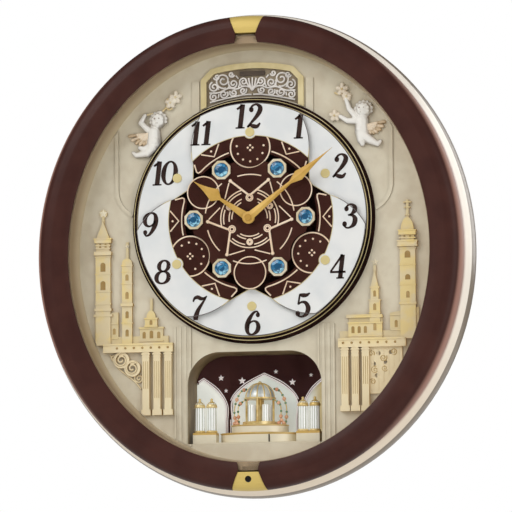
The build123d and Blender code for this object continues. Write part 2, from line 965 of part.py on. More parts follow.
# Right skyline: a domed tower, a minaret and a hall, drawn on the left and turned over
with BuildPart() as skyline_drawn:
    with BuildSketch(front(panel_front)):
        bar(row_near, row_far, lintel_top, row_eaves)
        bar(lattice_near, lattice_far, lattice_foot, lintel_top)
        Polygon(
            (-west_base_near, tower_foot),
            (-west_base_near, west_base_low),
            (-west_base_far, west_base_high),
            (-west_base_far, tower_foot),
            align=None,
        )
        bar(hall_near, hall_far, lintel_top, hall_top)
        stack(minaret_x, spike_half, minaret_eaves, minaret_top + minaret_half)
        stack(west_tower_x, spike_half, west_loft_top, west_spike_top)
        with Locations(*[(-x, z) for x, z in lattice_spots]):
            Circle(lattice_hole, mode=Mode.SUBTRACT)
        skyline_trim()
    extrude(amount=skyline_low)
    with BuildSketch(front(panel_front)):
        stack(west_tower_x, west_tower_half, tower_foot, west_tower_eaves)
        stack(west_tower_x, west_loft_half - hall_lap, west_tower_eaves, west_loft_top)
        dome(west_tower_x, west_dome_half, west_loft_top, west_dome_rise)
        stack(minaret_x, minaret_half, tower_foot, minaret_step)
        stack(minaret_x, minaret_upper_half, minaret_step, minaret_eaves)
        spire(minaret_x, minaret_upper_half, minaret_eaves, minaret_top)
        bar(hall_near - hall_lap, hall_far, hall_cornice, hall_top)
        bar(hall_near, hall_far, lintel_top, hall_ledge)
        skyline_trim()
    extrude(amount=skyline_mid)
    with BuildSketch(front(panel_front)):
        colonnade(west_lintel_near, west_column_near, west_column_pitch)
        stack(west_tower_x, west_gallery_half, west_tower_eaves, west_gallery_top)
        stack(west_tower_x, west_loft_half, west_loft_foot, west_loft_top)
        skyline_trim()
    extrude(amount=skyline_high)

with BuildPart() as skyline_right:
    mirror(skyline_drawn.part, about=Plane.YZ)
save(skyline_right.part, "skyline_right")

# Dial base: a drum with the spindle bearings, a front post for the rosette and a rear boss for the sun gear
front_spots = [hour_spot(pivot_radius, clock) for clock in front_clocks]
back_spots = [hour_spot(pivot_radius, clock) for clock in back_clocks]
with BuildPart() as dial_base:
    with BuildSketch(front(panel_front, 0, dial_rise)):
        Circle(dial_foot_radius)
    extrude(amount=foot_thick)
    with BuildSketch(front(panel_front, 0, dial_rise)):
        Circle(drum_radius)
    extrude(amount=base_thick)
    with BuildSketch(front(panel_front, 0, dial_rise)):
        Circle(drum_radius)
        Circle(drum_radius - drum_wall, mode=Mode.SUBTRACT)
    extrude(amount=drum_height)
    with BuildSketch(front(gear_back, 0, dial_rise)):
        Circle(sun_boss)
    extrude(amount=panel_front - gear_back)
    with BuildSketch(front(base_front, 0, dial_rise)):
        Circle(post_radius)
    extrude(amount=rosette_depth - base_front)
    with BuildSketch(front(gear_back)):
        with Locations((0, dial_rise)):
            Circle(tube_radius + fit_gap)
        with Locations(*front_spots, *back_spots):
            Circle(shaft_radius + fit_gap)
    extrude(amount=rosette_depth - gear_back, mode=Mode.SUBTRACT)
save(dial_base.part, "dial_base")

with BuildPart() as dial_rim:
    with BuildSketch(front(drum_front, 0, dial_rise)):
        Circle(rim_radius)
        Circle(rim_inner, mode=Mode.SUBTRACT)
    extrude(amount=rim_thick)
save(dial_rim.part, "dial_rim")

# Petal outlines, drawn with the petal's own hour at the top
rim_end = polar(dial_radius, front_half_angle)
end_bow = polar(end_bow_radius, end_bow_angle)
leaf_tip = polar(leaf_radius, leaf_angle)
with BuildSketch() as front_outline:
    with BuildLine():
        ThreePointArc((-rim_end[0], rim_end[1]), (0, dial_radius), rim_end)
        ThreePointArc(rim_end, end_bow, leaf_tip)
        ThreePointArc(leaf_tip, (0, leaf_radius), (-leaf_tip[0], leaf_tip[1]))
        ThreePointArc((-leaf_tip[0], leaf_tip[1]), (-end_bow[0], end_bow[1]), (-rim_end[0], rim_end[1]))
    make_face()
    fillet(front_outline.vertices().group_by(Axis.Y)[0], radius=leaf_round)

with BuildSketch() as backing_outline:
    add(front_outline.sketch)
    with Locations((0, medallion_centre)):
        Circle(medallion_radius)

with BuildSketch() as face_outline:
    add(front_outline.sketch)
    Circle(number_inner, mode=Mode.SUBTRACT)
    with Locations((0, pivot_radius)):
        Circle(tab_radius)

back_end = polar(dial_radius, back_half_angle)
with BuildSketch() as back_outline:
    with BuildLine():
        ThreePointArc((-back_end[0], back_end[1]), (0, dial_radius), back_end)
        Polyline(
            back_end,
            (shoulder_x, math.sqrt(shoulder_radius**2 - shoulder_x**2)),
            (0, apex_radius),
            (-shoulder_x, math.sqrt(shoulder_radius**2 - shoulder_x**2)),
            (-back_end[0], back_end[1]),
        )
    make_face()
    fillet(back_outline.vertices().group_by(Axis.Y)[0], radius=apex_round)

# Front petals: a brown back with two leaves and a medallion, and the white number plate on it
for clock in front_clocks:
    with BuildPart() as petal_back:
        with BuildSketch(dial_plane(front_petal_depth, clock)):
            add(backing_outline.sketch)
            with Locations((0, pivot_radius)):
                Circle(shaft_radius + fit_gap, mode=Mode.SUBTRACT)
        extrude(amount=backing_thick)
    save(petal_back.part, f"petal_{clock:02d}_back")
    with BuildPart() as petal_face:
        with BuildSketch(dial_plane(face_depth, clock)):
            add(face_outline.sketch)
            with Locations((0, pivot_radius)):
                Circle(shaft_radius + fit_gap, mode=Mode.SUBTRACT)
        extrude(amount=face_thick)
    save(petal_face.part, f"petal_{clock:02d}_face")

# Back petals: single white plates with a pointed inner end
for clock in back_clocks:
    with BuildPart() as petal_plate:
        with BuildSketch(dial_plane(back_petal_depth, clock)):
            add(back_outline.sketch)
            with Locations((0, pivot_radius)):
                Circle(shaft_radius + fit_gap, mode=Mode.SUBTRACT)
        extrude(amount=back_petal_thick)
    save(petal_plate.part, f"petal_{clock:02d}_face")

# Petal spindles: a gold cap, a shaft in two bearings and a pinion cut on it
half_pinion_pitch = 180 / pinion_teeth
for clock in front_clocks + back_clocks:
    cap_seat = front_petal_front if clock in front_clocks else back_petal_front
    spot = hour_spot(pivot_radius, clock)
    with BuildPart() as petal_spindle:
        with BuildSketch(front(gear_plate_back, *spot)):
            Circle(shaft_radius)
        extrude(amount=cap_seat - gear_plate_back)
        with BuildSketch(front(gear_back, *spot)):
            add(gear_face(pinion_teeth, half_pinion_pitch - square - clock * clock_step))
        extrude(amount=gear_thick)
        with BuildSketch(front(cap_seat, *spot)):
            Circle(cap_radius)
        extrude(amount=cap_height)
        fillet(petal_spindle.faces().sort_by(Axis.Y)[0].edges(), radius=cap_round)
    save(petal_spindle.part, f"petal_{clock:02d}_spindle")

# Sun gear on the dial base's boss; its teeth meet all six pinions
with BuildPart() as sun_gear:
    with BuildSketch(front(gear_back, 0, dial_rise)):
        add(gear_face(sun_teeth, square))
        Circle(sun_boss + fit_gap, mode=Mode.SUBTRACT)
    extrude(amount=gear_thick)
save(sun_gear.part, "sun_gear")

# Gear plate behind the drive, on studs under the panel
motor_spot = hour_spot(motor_distance, motor_clock)
stud_spots = [hour_spot(stud_circle, clock) for clock in (1, 3, 5, 7, 9, 11)]
with BuildPart() as gear_plate:
    with BuildSketch(front(gear_plate_back, 0, dial_rise)):
        Circle(gear_plate_radius)
    extrude(amount=gear_plate_thick)
    with BuildSketch(front(gear_plate_front)):
        with Locations(*stud_spots):
            Circle(stud_radius)
    extrude(amount=panel_back - gear_plate_front)
    with BuildSketch(front(gear_plate_back)):
        with Locations((0, dial_rise)):
            Circle(tube_radius + seat_gap)
        with Locations(*front_spots, *back_spots):
            Circle(shaft_radius + fit_gap)
        with Locations(motor_spot):
            Circle(motor_shaft_radius + fit_gap)
    extrude(amount=gear_plate_thick, mode=Mode.SUBTRACT)
save(gear_plate.part, "gear_plate")

with BuildPart() as drive_motor:
    with BuildSketch(front(gear_plate_back, *motor_spot)):
        Circle(motor_radius)
    extrude(amount=-motor_length)
    chamfer(drive_motor.faces().sort_by(Axis.Y)[-1].edges(), length=cap_height)
    with BuildSketch(front(gear_plate_back, *motor_spot)):
        Circle(motor_shaft_radius + fit_gap)
    extrude(amount=-gear_plate_thick, mode=Mode.SUBTRACT)
save(drive_motor.part, "drive_motor")

motor_turn = square - motor_clock * clock_step + square + square + 180 / motor_teeth
with BuildPart() as drive_pinion:
    with BuildSketch(front(gear_plate_back - gear_plate_thick + collar_gap, *motor_spot)):
        Circle(motor_shaft_radius)
    extrude(amount=gear_front - gear_plate_back + gear_plate_thick - collar_gap)
    with BuildSketch(front(gear_back, *motor_spot)):
        add(gear_face(motor_teeth, motor_turn))
    extrude(amount=gear_thick)
save(drive_pinion.part, "drive_pinion")

# Rosette in front of the petals, held on the post; its outline bays round the medallions
lobe_spots = [polar(lobe_centre, clock * clock_step) for clock in back_clocks]
jewel_spots = [polar(jewel_centre, clock * clock_step) for clock in (1, 3, 5, 7, 9, 11)]
bay_spots = [polar(medallion_centre, clock * clock_step) for clock in front_clocks]
with BuildPart() as rosette:
    with BuildSketch(front(rosette_depth, 0, dial_rise)):
        Circle(rosette_radius)
        with Locations(*lobe_spots):
            Circle(lobe_radius)
        with Locations(*jewel_spots):
            Circle(setting_radius)
        with Locations(*bay_spots):
            Circle(medallion_radius + medallion_gap, mode=Mode.SUBTRACT)
        Circle(tube_radius + fit_gap, mode=Mode.SUBTRACT)
    extrude(amount=rosette_thick)
save(rosette.part, "rosette")

half_side = 180 / jewel_sides
with BuildPart() as jewel_settings:
    with BuildSketch(front(rosette_front, 0, dial_rise)):
        with Locations(*jewel_spots):
            RegularPolygon(setting_radius, jewel_sides, rotation=half_side)
            Circle(setting_bore, mode=Mode.SUBTRACT)
    extrude(amount=setting_rise)
save(jewel_settings.part, "jewel_settings")

with BuildPart() as jewels:
    for spot in jewel_spots:
        with BuildSketch(front(rosette_front, spot[0], dial_rise + spot[1])):
            RegularPolygon(jewel_radius, jewel_sides, rotation=half_side)
        extrude(amount=jewel_girdle)
        with BuildSketch(front(rosette_front + jewel_girdle, spot[0], dial_rise + spot[1])):
            RegularPolygon(jewel_radius, jewel_sides, rotation=half_side)
        with BuildSketch(front(jewel_front, spot[0], dial_rise + spot[1])):
            RegularPolygon(jewel_table, jewel_sides, rotation=half_side)
        loft()
save(jewels.part, "jewels")


def hand_outline(length, leaf_half):
    """Lance hand pointing up: a tapered root, a narrow neck and a leaf drawn out to a point."""
    with BuildSketch() as outline:
        with BuildLine():
            Polyline(
                (hand_root_half, 0),
                (hand_neck_half, length * neck_share),
                (leaf_half, length * shoulder_share),
            )
            Spline(
                (leaf_half, length * shoulder_share),
                (leaf_half * leaf_taper_share, length * leaf_mid_share),
                (0, length),
            )
            mirror(about=Plane.YZ)
            Line((-hand_root_half, 0), (hand_root_half, 0))
        make_face()
        Circle(hand_hub_radius)
    return outline.sketch


# Hands at about nine minutes past ten, each on its own arbor through the movement's tube
hour_clock = hour_at + minute_angle / (clock_step * hours_round)
hour_shape = hand_outline(hour_length, hour_leaf_half)
with BuildPart() as hour_hand:
    with BuildSketch(dial_plane(hour_depth, hour_clock)):
        add(hour_shape)
    extrude(amount=hand_thick)
    with BuildSketch(front(gear_plate_back - tube_sink, 0, dial_rise)):
        Circle(hour_tube_radius)
    extrude(amount=hour_depth - gear_plate_back + tube_sink)
    with BuildSketch(front(gear_plate_back - tube_sink, 0, dial_rise)):
        Circle(arbor_radius + fit_gap)
    extrude(amount=hour_depth + hand_thick - gear_plate_back + tube_sink, mode=Mode.SUBTRACT)
save(hour_hand.part, "hour_hand")

knob_front = movement_back - knob_gap
knob_back = knob_front - knob_thick
minute_shape = hand_outline(minute_length, minute_leaf_half)
with BuildPart() as minute_hand:
    with BuildSketch(dial_plane(minute_depth, minute_angle / clock_step)):
        add(minute_shape)
    extrude(amount=hand_thick)
    with BuildSketch(front(knob_back, 0, dial_rise)):
        Circle(arbor_radius)
    extrude(amount=minute_depth - knob_back)
    with BuildSketch(front(minute_front, 0, dial_rise)):
        Circle(nut_radius)
    extrude(amount=nut_rise)
    chamfer(minute_hand.faces().sort_by(Axis.Y)[0].edges(), length=nut_bevel)
save(minute_hand.part, "minute_hand")

with BuildPart() as set_knob:
    with BuildSketch(front(knob_back, 0, dial_rise)):
        Circle(knob_radius)
        with PolarLocations(knob_radius, knob_grips):
            Circle(knob_grip, mode=Mode.SUBTRACT)
        Circle(arbor_radius, mode=Mode.SUBTRACT)
    extrude(amount=knob_thick)
save(set_knob.part, "set_knob")

with BuildPart() as movement:
    with BuildSketch(front(movement_back, 0, dial_rise)):
        RectangleRounded(movement_side, movement_side, movement_round)
    extrude(amount=movement_thick)
    with BuildSketch(front(gear_plate_back, 0, dial_rise)):
        Circle(tube_radius)
    extrude(amount=hour_depth - hand_gap / 2 - gear_plate_back)
    with BuildSketch(front(gear_plate_back - tube_sink - collar_gap, 0, dial_rise)):
        Circle(hour_tube_radius + fit_gap)
    extrude(amount=hour_depth - gear_plate_back + tube_sink, mode=Mode.SUBTRACT)
    with BuildSketch(front(movement_back, 0, dial_rise)):
        Circle(arbor_radius + fit_gap)
    extrude(amount=movement_thick, mode=Mode.SUBTRACT)
save(movement.part, "movement")

# Alcove: a shell behind the window, floored for the stage
with BuildPart() as alcove_shell:
    with BuildSketch(front(alcove_back)):
        add(window.sketch)
        offset(amount=alcove_wall)
    extrude(amount=panel_back - alcove_back)
    with BuildSketch(front(alcove_back + alcove_wall)):
        add(window.sketch)
    extrude(amount=panel_back - alcove_back, mode=Mode.SUBTRACT)
    with BuildSketch(level(window_foot, 0, table_depth)):
        Circle(spindle_radius + seat_gap)
    extrude(amount=-alcove_wall, mode=Mode.SUBTRACT)
save(alcove_shell.part, "alcove_shell")


def arch_shape(half, drop):
    """Pointed arch standing on the local x axis, lower than the middle one by a drop."""
    spring = (half, arch_spring - drop)
    with BuildSketch() as arch:
        with BuildLine():
            Polyline((0, 0), (half, 0), spring)
            ThreePointArc(spring, (half * arch_bow_share, arch_bow - drop), (0, arch_apex - drop))
            mirror(about=Plane.YZ)
        make_face()
    return arch.sketch


# Arcade screen: three walls of a bay, each with a pointed arch, backed by mirror
bay_side = window_half + alcove_wall
bay_plan = [
    (-bay_side, -screen_front),
    (-screen_half, -screen_back),
    (screen_half, -screen_back),
    (bay_side, -screen_front),
]
wall_lean = math.atan2(screen_front - screen_back, bay_side - screen_half)
side_arch_depth = screen_back + (side_arch_x - screen_half) * math.tan(wall_lean)
with BuildSketch() as window_field:
    offset(window.sketch, amount=-seat_gap)

with BuildPart() as arcade_screen:
    with BuildSketch(level(window_foot)):
        with BuildLine():
            bay_line = Polyline(*bay_plan)
            offset(bay_line, amount=screen_thick, side=Side.RIGHT)
        make_face()
    extrude(amount=alcove_height)
    with BuildSketch(front(alcove_back)):
        add(window_field.sketch)
    extrude(amount=panel_back - alcove_back, mode=Mode.INTERSECT)
    with BuildSketch(front(alcove_back, 0, window_foot)):
        add(arch_shape(arch_half, 0))
    extrude(amount=screen_back + screen_thick + overrun - alcove_back, mode=Mode.SUBTRACT)
    for side in (-1, 1):
        wall_plane = Plane(
            origin=(side * side_arch_x, -side_arch_depth, window_foot),
            x_dir=(math.cos(wall_lean), -side * math.sin(wall_lean), 0),
            z_dir=(-side * math.sin(wall_lean), -math.cos(wall_lean), 0),
        )
        with BuildSketch(wall_plane):
            add(arch_shape(side_arch_half, side_arch_drop))
        extrude(amount=screen_thick + overrun / 2, both=True, mode=Mode.SUBTRACT)
save(arcade_screen.part, "arcade_screen")

with BuildPart() as mirror_sheet:
    with BuildSketch(level(window_foot)):
        with BuildLine():
            mirror_line = Polyline(*bay_plan)
            offset(mirror_line, amount=mirror_thick, side=Side.LEFT)
        make_face()
    extrude(amount=alcove_height)
    with BuildSketch(front(alcove_back)):
        add(window_field.sketch)
    extrude(amount=panel_back - alcove_back, mode=Mode.INTERSECT)
save(mirror_sheet.part, "mirror_sheet")

# Stage: two oval steps on a slab, with a pedestal at each side
with BuildPart() as stage:
    with BuildSketch(level(window_foot, 0, table_depth + stage_half_depth)):
        Rectangle(2 * stage_slab_half, stage_slab_depth, align=(Align.CENTER, Align.MIN))
    extrude(amount=stage_slab)
    with BuildSketch(level(window_foot, 0, table_depth)):
        Ellipse(stage_half, stage_half_depth)
    extrude(amount=stage_lower)
    chamfer(stage.edges().group_by(Axis.Z)[-1], length=stage_step)
    with BuildSketch(level(window_foot + stage_lower, 0, table_depth)):
        Ellipse(stage_upper_half, stage_upper_half_depth)
    extrude(amount=stage_upper)
    chamfer(stage.edges().group_by(Axis.Z)[-1], length=stage_step)
    with BuildSketch(level(window_foot, 0, pedestal_set)):
        with Locations((-pedestal_x, 0), (pedestal_x, 0)):
            Rectangle(pedestal_width, pedestal_depth)
    extrude(amount=pedestal_height)
    with BuildSketch(level(window_foot, 0, table_depth)):
        Circle(spindle_radius + fit_gap)
    extrude(amount=stage_lower + stage_upper, mode=Mode.SUBTRACT)
save(stage.part, "stage")

pedestal_top = window_foot + pedestal_height
with BuildPart() as side_bells:
    with BuildSketch(level(pedestal_top, 0, pedestal_set)):
        for side in (-1, 1):
            with Locations((side * pedestal_x - bell_offset, 0), (side * pedestal_x + bell_offset, 0)):
                Circle(bell_radius)
    extrude(amount=bell_height, taper=bell_taper)
save(side_bells.part, "side_bells")

# Turntable: a gold table on its spindle, with an open pavilion under a dome
table_foot = stage_top + table_lift
table_top = table_foot + table_thick
with BuildPart() as turntable:
    with BuildSketch(level(table_foot, 0, table_depth)):
        Circle(table_radius)
    extrude(amount=table_thick)
    with BuildSketch(level(window_foot - alcove_wall - spindle_reach, 0, table_depth)):
        Circle(spindle_radius)
    extrude(amount=table_foot - window_foot + alcove_wall + spindle_reach)
    with BuildSketch(level(table_top, 0, table_depth)):
        with PolarLocations(pavilion_radius, pavilion_posts):
            Circle(pavilion_post)
        Circle(pavilion_post * 2)
    extrude(amount=pavilion_height)
    with BuildSketch(level(table_top + pavilion_height, 0, table_depth)):
        Circle(dome_radius)
    extrude(amount=dome_curb)
    with Locations((0, -table_depth, table_top + pavilion_height + dome_curb)):
        Sphere(dome_radius - dome_curb, arc_size1=0, align=(Align.CENTER, Align.CENTER, Align.MIN))
    with Locations((0, -table_depth, table_top + pavilion_height + dome_radius)):
        Sphere(finial_radius)
save(turntable.part, "turntable")

with BuildPart() as crystals:
    with BuildSketch(level(table_top, 0, table_depth)):
        with PolarLocations(crystal_circle, pavilion_posts, start_angle=square / 2):
            RegularPolygon(crystal_radius, jewel_sides)
    extrude(amount=crystal_height, taper=bell_taper)
save(crystals.part, "crystals")

with BuildPart() as stage_motor:
    with BuildSketch(level(window_foot - alcove_wall, 0, table_depth)):
        RectangleRounded(stage_motor_side, stage_motor_side, movement_round)
    extrude(amount=-stage_motor_height)
    with BuildSketch(level(window_foot - alcove_wall, 0, table_depth)):
        Circle(spindle_radius + fit_gap)
    extrude(amount=-spindle_reach - collar_gap, mode=Mode.SUBTRACT)
save(stage_motor.part, "stage_motor")

# Rear cover: a dished tray with screw bosses, a control well, the battery bay and the hanger's seat
bay_width = cell_length
bay_height = cell_pitch * cell_count + 2 * bay_gap
bay_top = door_thick + 2 * bay_gap + 2 * cell_radius
door_width = bay_width + 2 * door_lap
door_height = bay_height + 2 * door_lap
rear_skin = oval_loft([(rear_inset, 0), (rear_lip_inset, rear_depth)])
rear_hollow = oval_loft([(rear_inset + shell_wall, shell_wall), (rear_lip_inset + shell_wall, rear_depth)])
with BuildPart() as screw_bosses:
    with BuildSketch(front(0)):
        with Locations(*screw_spots):
            Circle(boss_radius)
    extrude(amount=rear_depth)
    add(rear_skin, mode=Mode.INTERSECT)

with BuildPart() as rear_cover:
    add(rear_skin)
    add(rear_hollow, mode=Mode.SUBTRACT)
    add(screw_bosses.part)
    with BuildSketch(front(0)):
        with Locations((0, well_z)):
            Rectangle(well_width + 2 * well_skin, well_height + 2 * well_skin)
    extrude(amount=well_face)
    with BuildSketch(front(0, bay_x, bay_z)):
        Rectangle(bay_width + 2 * bay_wall, bay_height + 2 * bay_wall)
    extrude(amount=bay_top + bay_wall)
    with BuildSketch(front(0, bay_x, bay_z)):
        Rectangle(door_width + 2 * bay_wall, door_height + 2 * bay_wall)
    extrude(amount=door_thick + shell_wall)
    with BuildSketch(front(0, 0, well_z)):
        with GridLocations(board_width - board_margin, board_height - board_margin, 2, 2):
            Circle(stud_radius)
    extrude(amount=board_back)
    with BuildSketch(front(0, 0, well_z)):
        Rectangle(well_width, well_height)
    extrude(amount=well_depth, mode=Mode.SUBTRACT)
    with BuildSketch(front(0, bay_x, bay_z)):
        Rectangle(bay_width, bay_height)
    extrude(amount=bay_top, mode=Mode.SUBTRACT)
    with BuildSketch(front(0, bay_x, bay_z)):
        Rectangle(door_width, door_height)
    extrude(amount=door_thick, mode=Mode.SUBTRACT)
    with BuildSketch(front(0)):
        with Locations((0, dial_rise)):
            Circle(knob_radius + knob_reach)
        with Locations(*screw_spots):
            Circle(screw_hole)
        with Locations((0, hanger_z)):
            Rectangle(2 * hanger_relief, hanger_height - 2 * hanger_lap)
        with Locations((button_x, well_z)):
            Circle(button_radius + seat_gap)
        with Locations((volume_x, well_z)):
            Circle(volume_shaft + fit_gap)
        for place in range(grille_slots):
            rise = (place - (grille_slots - 1) / 2) * grille_pitch
            with Locations((speaker_x, speaker_z + rise)):
                SlotOverall(2 * math.sqrt((speaker_radius - grille_pitch) ** 2 - rise**2), grille_width)
    extrude(amount=rear_depth, mode=Mode.SUBTRACT)
    with BuildSketch(front(0)):
        with Locations(*screw_spots):
            Circle(screw_head + seat_gap)
    extrude(amount=screw_sink, mode=Mode.SUBTRACT)
    with BuildSketch(front(0, 0, hanger_z)):
        Rectangle(hanger_width + 2 * door_gap, hanger_height + 2 * door_gap)
    extrude(amount=hanger_thick, mode=Mode.SUBTRACT)
save(rear_cover.part, "rear_cover")

# Steel hanger with its keyhole, flush in the rear cover
with BuildPart() as hanger_plate:
    with BuildSketch(front(0, 0, hanger_z)):
        Rectangle(hanger_width, hanger_height)
        with Locations((0, -hanger_slide / 2)):
            Circle(hanger_bore, mode=Mode.SUBTRACT)
            Rectangle(hanger_slot, hanger_slide, align=(Align.CENTER, Align.MIN), mode=Mode.SUBTRACT)
    extrude(amount=hanger_thick)
save(hanger_plate.part, "hanger_plate")

with BuildPart() as case_screws:
    with BuildSketch(front(screw_sink - screw_head_thick)):
        with Locations(*screw_spots):
            Circle(screw_head)
    extrude(amount=screw_head_thick)
    with BuildSketch(front(screw_sink)):
        with Locations(*screw_spots):
            Circle(screw_radius)
    extrude(amount=rear_depth + screw_bite - screw_sink)
save(case_screws.part, "case_screws")

# Sound and power
with BuildPart() as speaker:
    with BuildSketch(front(shell_wall, speaker_x, speaker_z)):
        Circle(speaker_radius)
    extrude(amount=speaker_flange)
    with BuildSketch(front(shell_wall + speaker_flange, speaker_x, speaker_z)):
        Circle(speaker_radius - speaker_flange)
    with BuildSketch(front(shell_wall + speaker_depth, speaker_x, speaker_z)):
        Circle(speaker_radius * speaker_cone_share)
    loft()
save(speaker.part, "speaker")

with BuildPart() as circuit_board:
    with BuildSketch(front(board_back, 0, well_z)):
        Rectangle(board_width, board_height)
    extrude(amount=board_thick)
    with BuildSketch(front(board_back + board_thick, 0, well_z)):
        Rectangle(chip_side, chip_side)
    extrude(amount=chip_thick)
save(circuit_board.part, "circuit_board")

cell_depth = door_thick + bay_gap + cell_radius
with BuildPart() as batteries:
    for place in range(cell_count):
        rise = (place - (cell_count - 1) / 2) * cell_pitch
        cell_end = (bay_x - cell_length / 2, -cell_depth, bay_z + rise)
        with BuildSketch(Plane(origin=cell_end, x_dir=(0, 1, 0), z_dir=(1, 0, 0))):
            Circle(cell_radius)
        extrude(amount=cell_length)
save(batteries.part, "batteries")

with BuildPart() as battery_door:
    with BuildSketch(front(0, bay_x, bay_z)):
        Rectangle(door_width - 2 * door_gap, door_height - 2 * door_gap)
    extrude(amount=door_thick)
    with BuildSketch(front(0, bay_x, bay_z)):
        with Locations((0, door_height / 2 - door_grip)):
            SlotOverall(door_grip * 2, door_grip)
    extrude(amount=door_grip_depth, mode=Mode.SUBTRACT)
save(battery_door.part, "battery_door")

# Controls in the well, all short of the wall
with BuildPart() as demo_button:
    with BuildSketch(front(well_depth - button_out, button_x, well_z)):
        Circle(button_radius)
    extrude(amount=button_out + well_floor + control_reach)
    with BuildSketch(front(well_face + collar_gap, button_x, well_z)):
        Circle(button_collar)
    extrude(amount=collar_thick)
save(demo_button.part, "demo_button")

with BuildPart() as volume_knob:
    with BuildSketch(front(well_depth - collar_gap - volume_thick, volume_x, well_z)):
        Circle(volume_radius)
    extrude(amount=volume_thick)
    with BuildSketch(front(well_depth - collar_gap, volume_x, well_z)):
        Circle(volume_shaft)
    extrude(amount=collar_gap + well_floor + control_reach)
    with BuildSketch(front(well_depth - collar_gap - volume_thick, volume_x, well_z)):
        Rectangle(volume_notch, volume_radius, align=(Align.CENTER, Align.MIN))
    extrude(amount=volume_notch, mode=Mode.SUBTRACT)
save(volume_knob.part, "volume_knob")
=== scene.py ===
import math

import bmesh
import bpy
from mathutils import Matrix, Vector


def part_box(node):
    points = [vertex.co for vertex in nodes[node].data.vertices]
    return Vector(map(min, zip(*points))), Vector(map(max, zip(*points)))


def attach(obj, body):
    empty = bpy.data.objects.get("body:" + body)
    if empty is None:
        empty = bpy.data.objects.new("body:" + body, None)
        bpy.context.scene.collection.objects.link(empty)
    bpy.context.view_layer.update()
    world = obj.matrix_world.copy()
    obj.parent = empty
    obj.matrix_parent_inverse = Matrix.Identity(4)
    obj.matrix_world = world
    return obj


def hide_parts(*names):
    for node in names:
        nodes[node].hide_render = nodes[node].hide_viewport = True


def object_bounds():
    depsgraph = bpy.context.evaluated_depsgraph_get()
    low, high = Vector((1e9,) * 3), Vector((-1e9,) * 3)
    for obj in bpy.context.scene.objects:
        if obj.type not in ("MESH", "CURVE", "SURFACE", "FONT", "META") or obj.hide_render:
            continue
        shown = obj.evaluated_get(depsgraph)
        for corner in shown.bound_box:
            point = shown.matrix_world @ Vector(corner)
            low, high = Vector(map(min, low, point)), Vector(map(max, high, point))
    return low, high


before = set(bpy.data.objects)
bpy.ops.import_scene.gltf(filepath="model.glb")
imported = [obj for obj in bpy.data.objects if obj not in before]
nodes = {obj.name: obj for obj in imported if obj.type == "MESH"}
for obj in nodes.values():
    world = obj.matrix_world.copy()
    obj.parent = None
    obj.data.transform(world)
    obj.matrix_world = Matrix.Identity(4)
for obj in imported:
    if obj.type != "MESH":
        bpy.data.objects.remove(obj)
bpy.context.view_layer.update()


# Rear cover and battery door: injection-moulded black styrene with a fine spark-eroded grain.
# The cover closes the case from behind with six screws, and the door lifts off over three cells.
class Signal:
    """The output of a shader node, used in plain arithmetic."""

    def __init__(self, finish, socket):
        self.finish = finish
        self.socket = socket

    def apply(self, operation, *values):
        return self.finish.node("Math", dict(enumerate((self, *values))), operation=operation)

    def __add__(self, other):
        return self.apply("ADD", other)

    def __sub__(self, other):
        return self.apply("SUBTRACT", other)

    def __rsub__(self, other):
        return self * -1.0 + other

    def __mul__(self, other):
        return self.apply("MULTIPLY", other)

    __radd__ = __add__
    __rmul__ = __mul__

    def ramp(self, low, high):
        """Rises smoothly from 0 at one value to 1 at another."""
        inputs = {"Value": self, "From Min": low, "From Max": high}
        return self.finish.node("MapRange", inputs, interpolation_type="SMOOTHSTEP")

    def mix(self, *shades):
        """Goes from a first shade to a second, each in eight-bit values or from other nodes."""
        first, second = (shade if isinstance(shade, Signal) else tint(*shade) for shade in shades)
        return self.finish.node("Mix", {0: self, 6: first, 7: second}, 2, data_type="RGBA")


class Finish:
    """A material, or a world: its shader and the nodes that feed it."""

    def __init__(self, name, world=None, **sockets):
        self.material = world or bpy.data.materials.new(name)
        self.material.use_nodes = True
        self.tree = self.material.node_tree
        self.shader = self.tree.nodes["Background" if world else "Principled BSDF"]
        self.set(**sockets)

    def link(self, socket, value):
        if isinstance(value, Signal):
            self.tree.links.new(value.socket, socket)
        else:
            socket.default_value = value

    def set(self, **sockets):
        for name, value in sockets.items():
            self.link(self.shader.inputs[name.replace("_", " ")], value)

    def node(self, kind, inputs, output=0, **settings):
        made = self.tree.nodes.new("ShaderNode" + kind)
        for name, value in settings.items():
            setattr(made, name, value)
        for name, value in inputs.items():
            self.link(made.inputs[name], value)
        return Signal(self, made.outputs[output])

    def spot(self):
        """Where the shaded point lies on its piece."""
        return self.node("TexCoord", {}, "Object")

    def axis(self, letter):
        """One coordinate of that point."""
        return self.node("SeparateXYZ", {"Vector": self.spot()}, letter)

    def looks(self, letter):
        """How far the surface looks along an axis, from -1 to 1."""
        return self.node("SeparateXYZ", {"Vector": self.node("NewGeometry", {}, "Normal")}, letter)

    def measure(self, operation, first, second):
        return self.node("VectorMath", {0: first, 1: second}, 1, operation=operation)

    def stretch(self, vector, scale):
        return self.node("VectorMath", {0: vector, 1: scale}, operation="MULTIPLY")

    def noise(self, scale, vector=None, detail=3.0):
        return self.node("TexNoise", {"Vector": vector or self.spot(), "Scale": scale, "Detail": detail})

    def clouds(self, scale):
        """Soft patches."""
        return self.noise(scale).ramp(0.35, 0.65)

    def bump(self, height, relief):
        """Raised grain, its relief in micrometres."""
        return self.node("Bump", {"Height": height, "Distance": relief / 1e6, "Strength": 1.0})

    def paint(self, colour, grain, relief, roughness=None, swing=0.15):
        """Colour with one fine grain in the surface and, where a roughness is given, in the gloss."""
        fine = self.noise(grain)
        self.set(Base_Color=colour, Normal=self.bump(fine, relief))
        if roughness is not None:
            self.set(Roughness=roughness + (fine - 0.5) * swing)


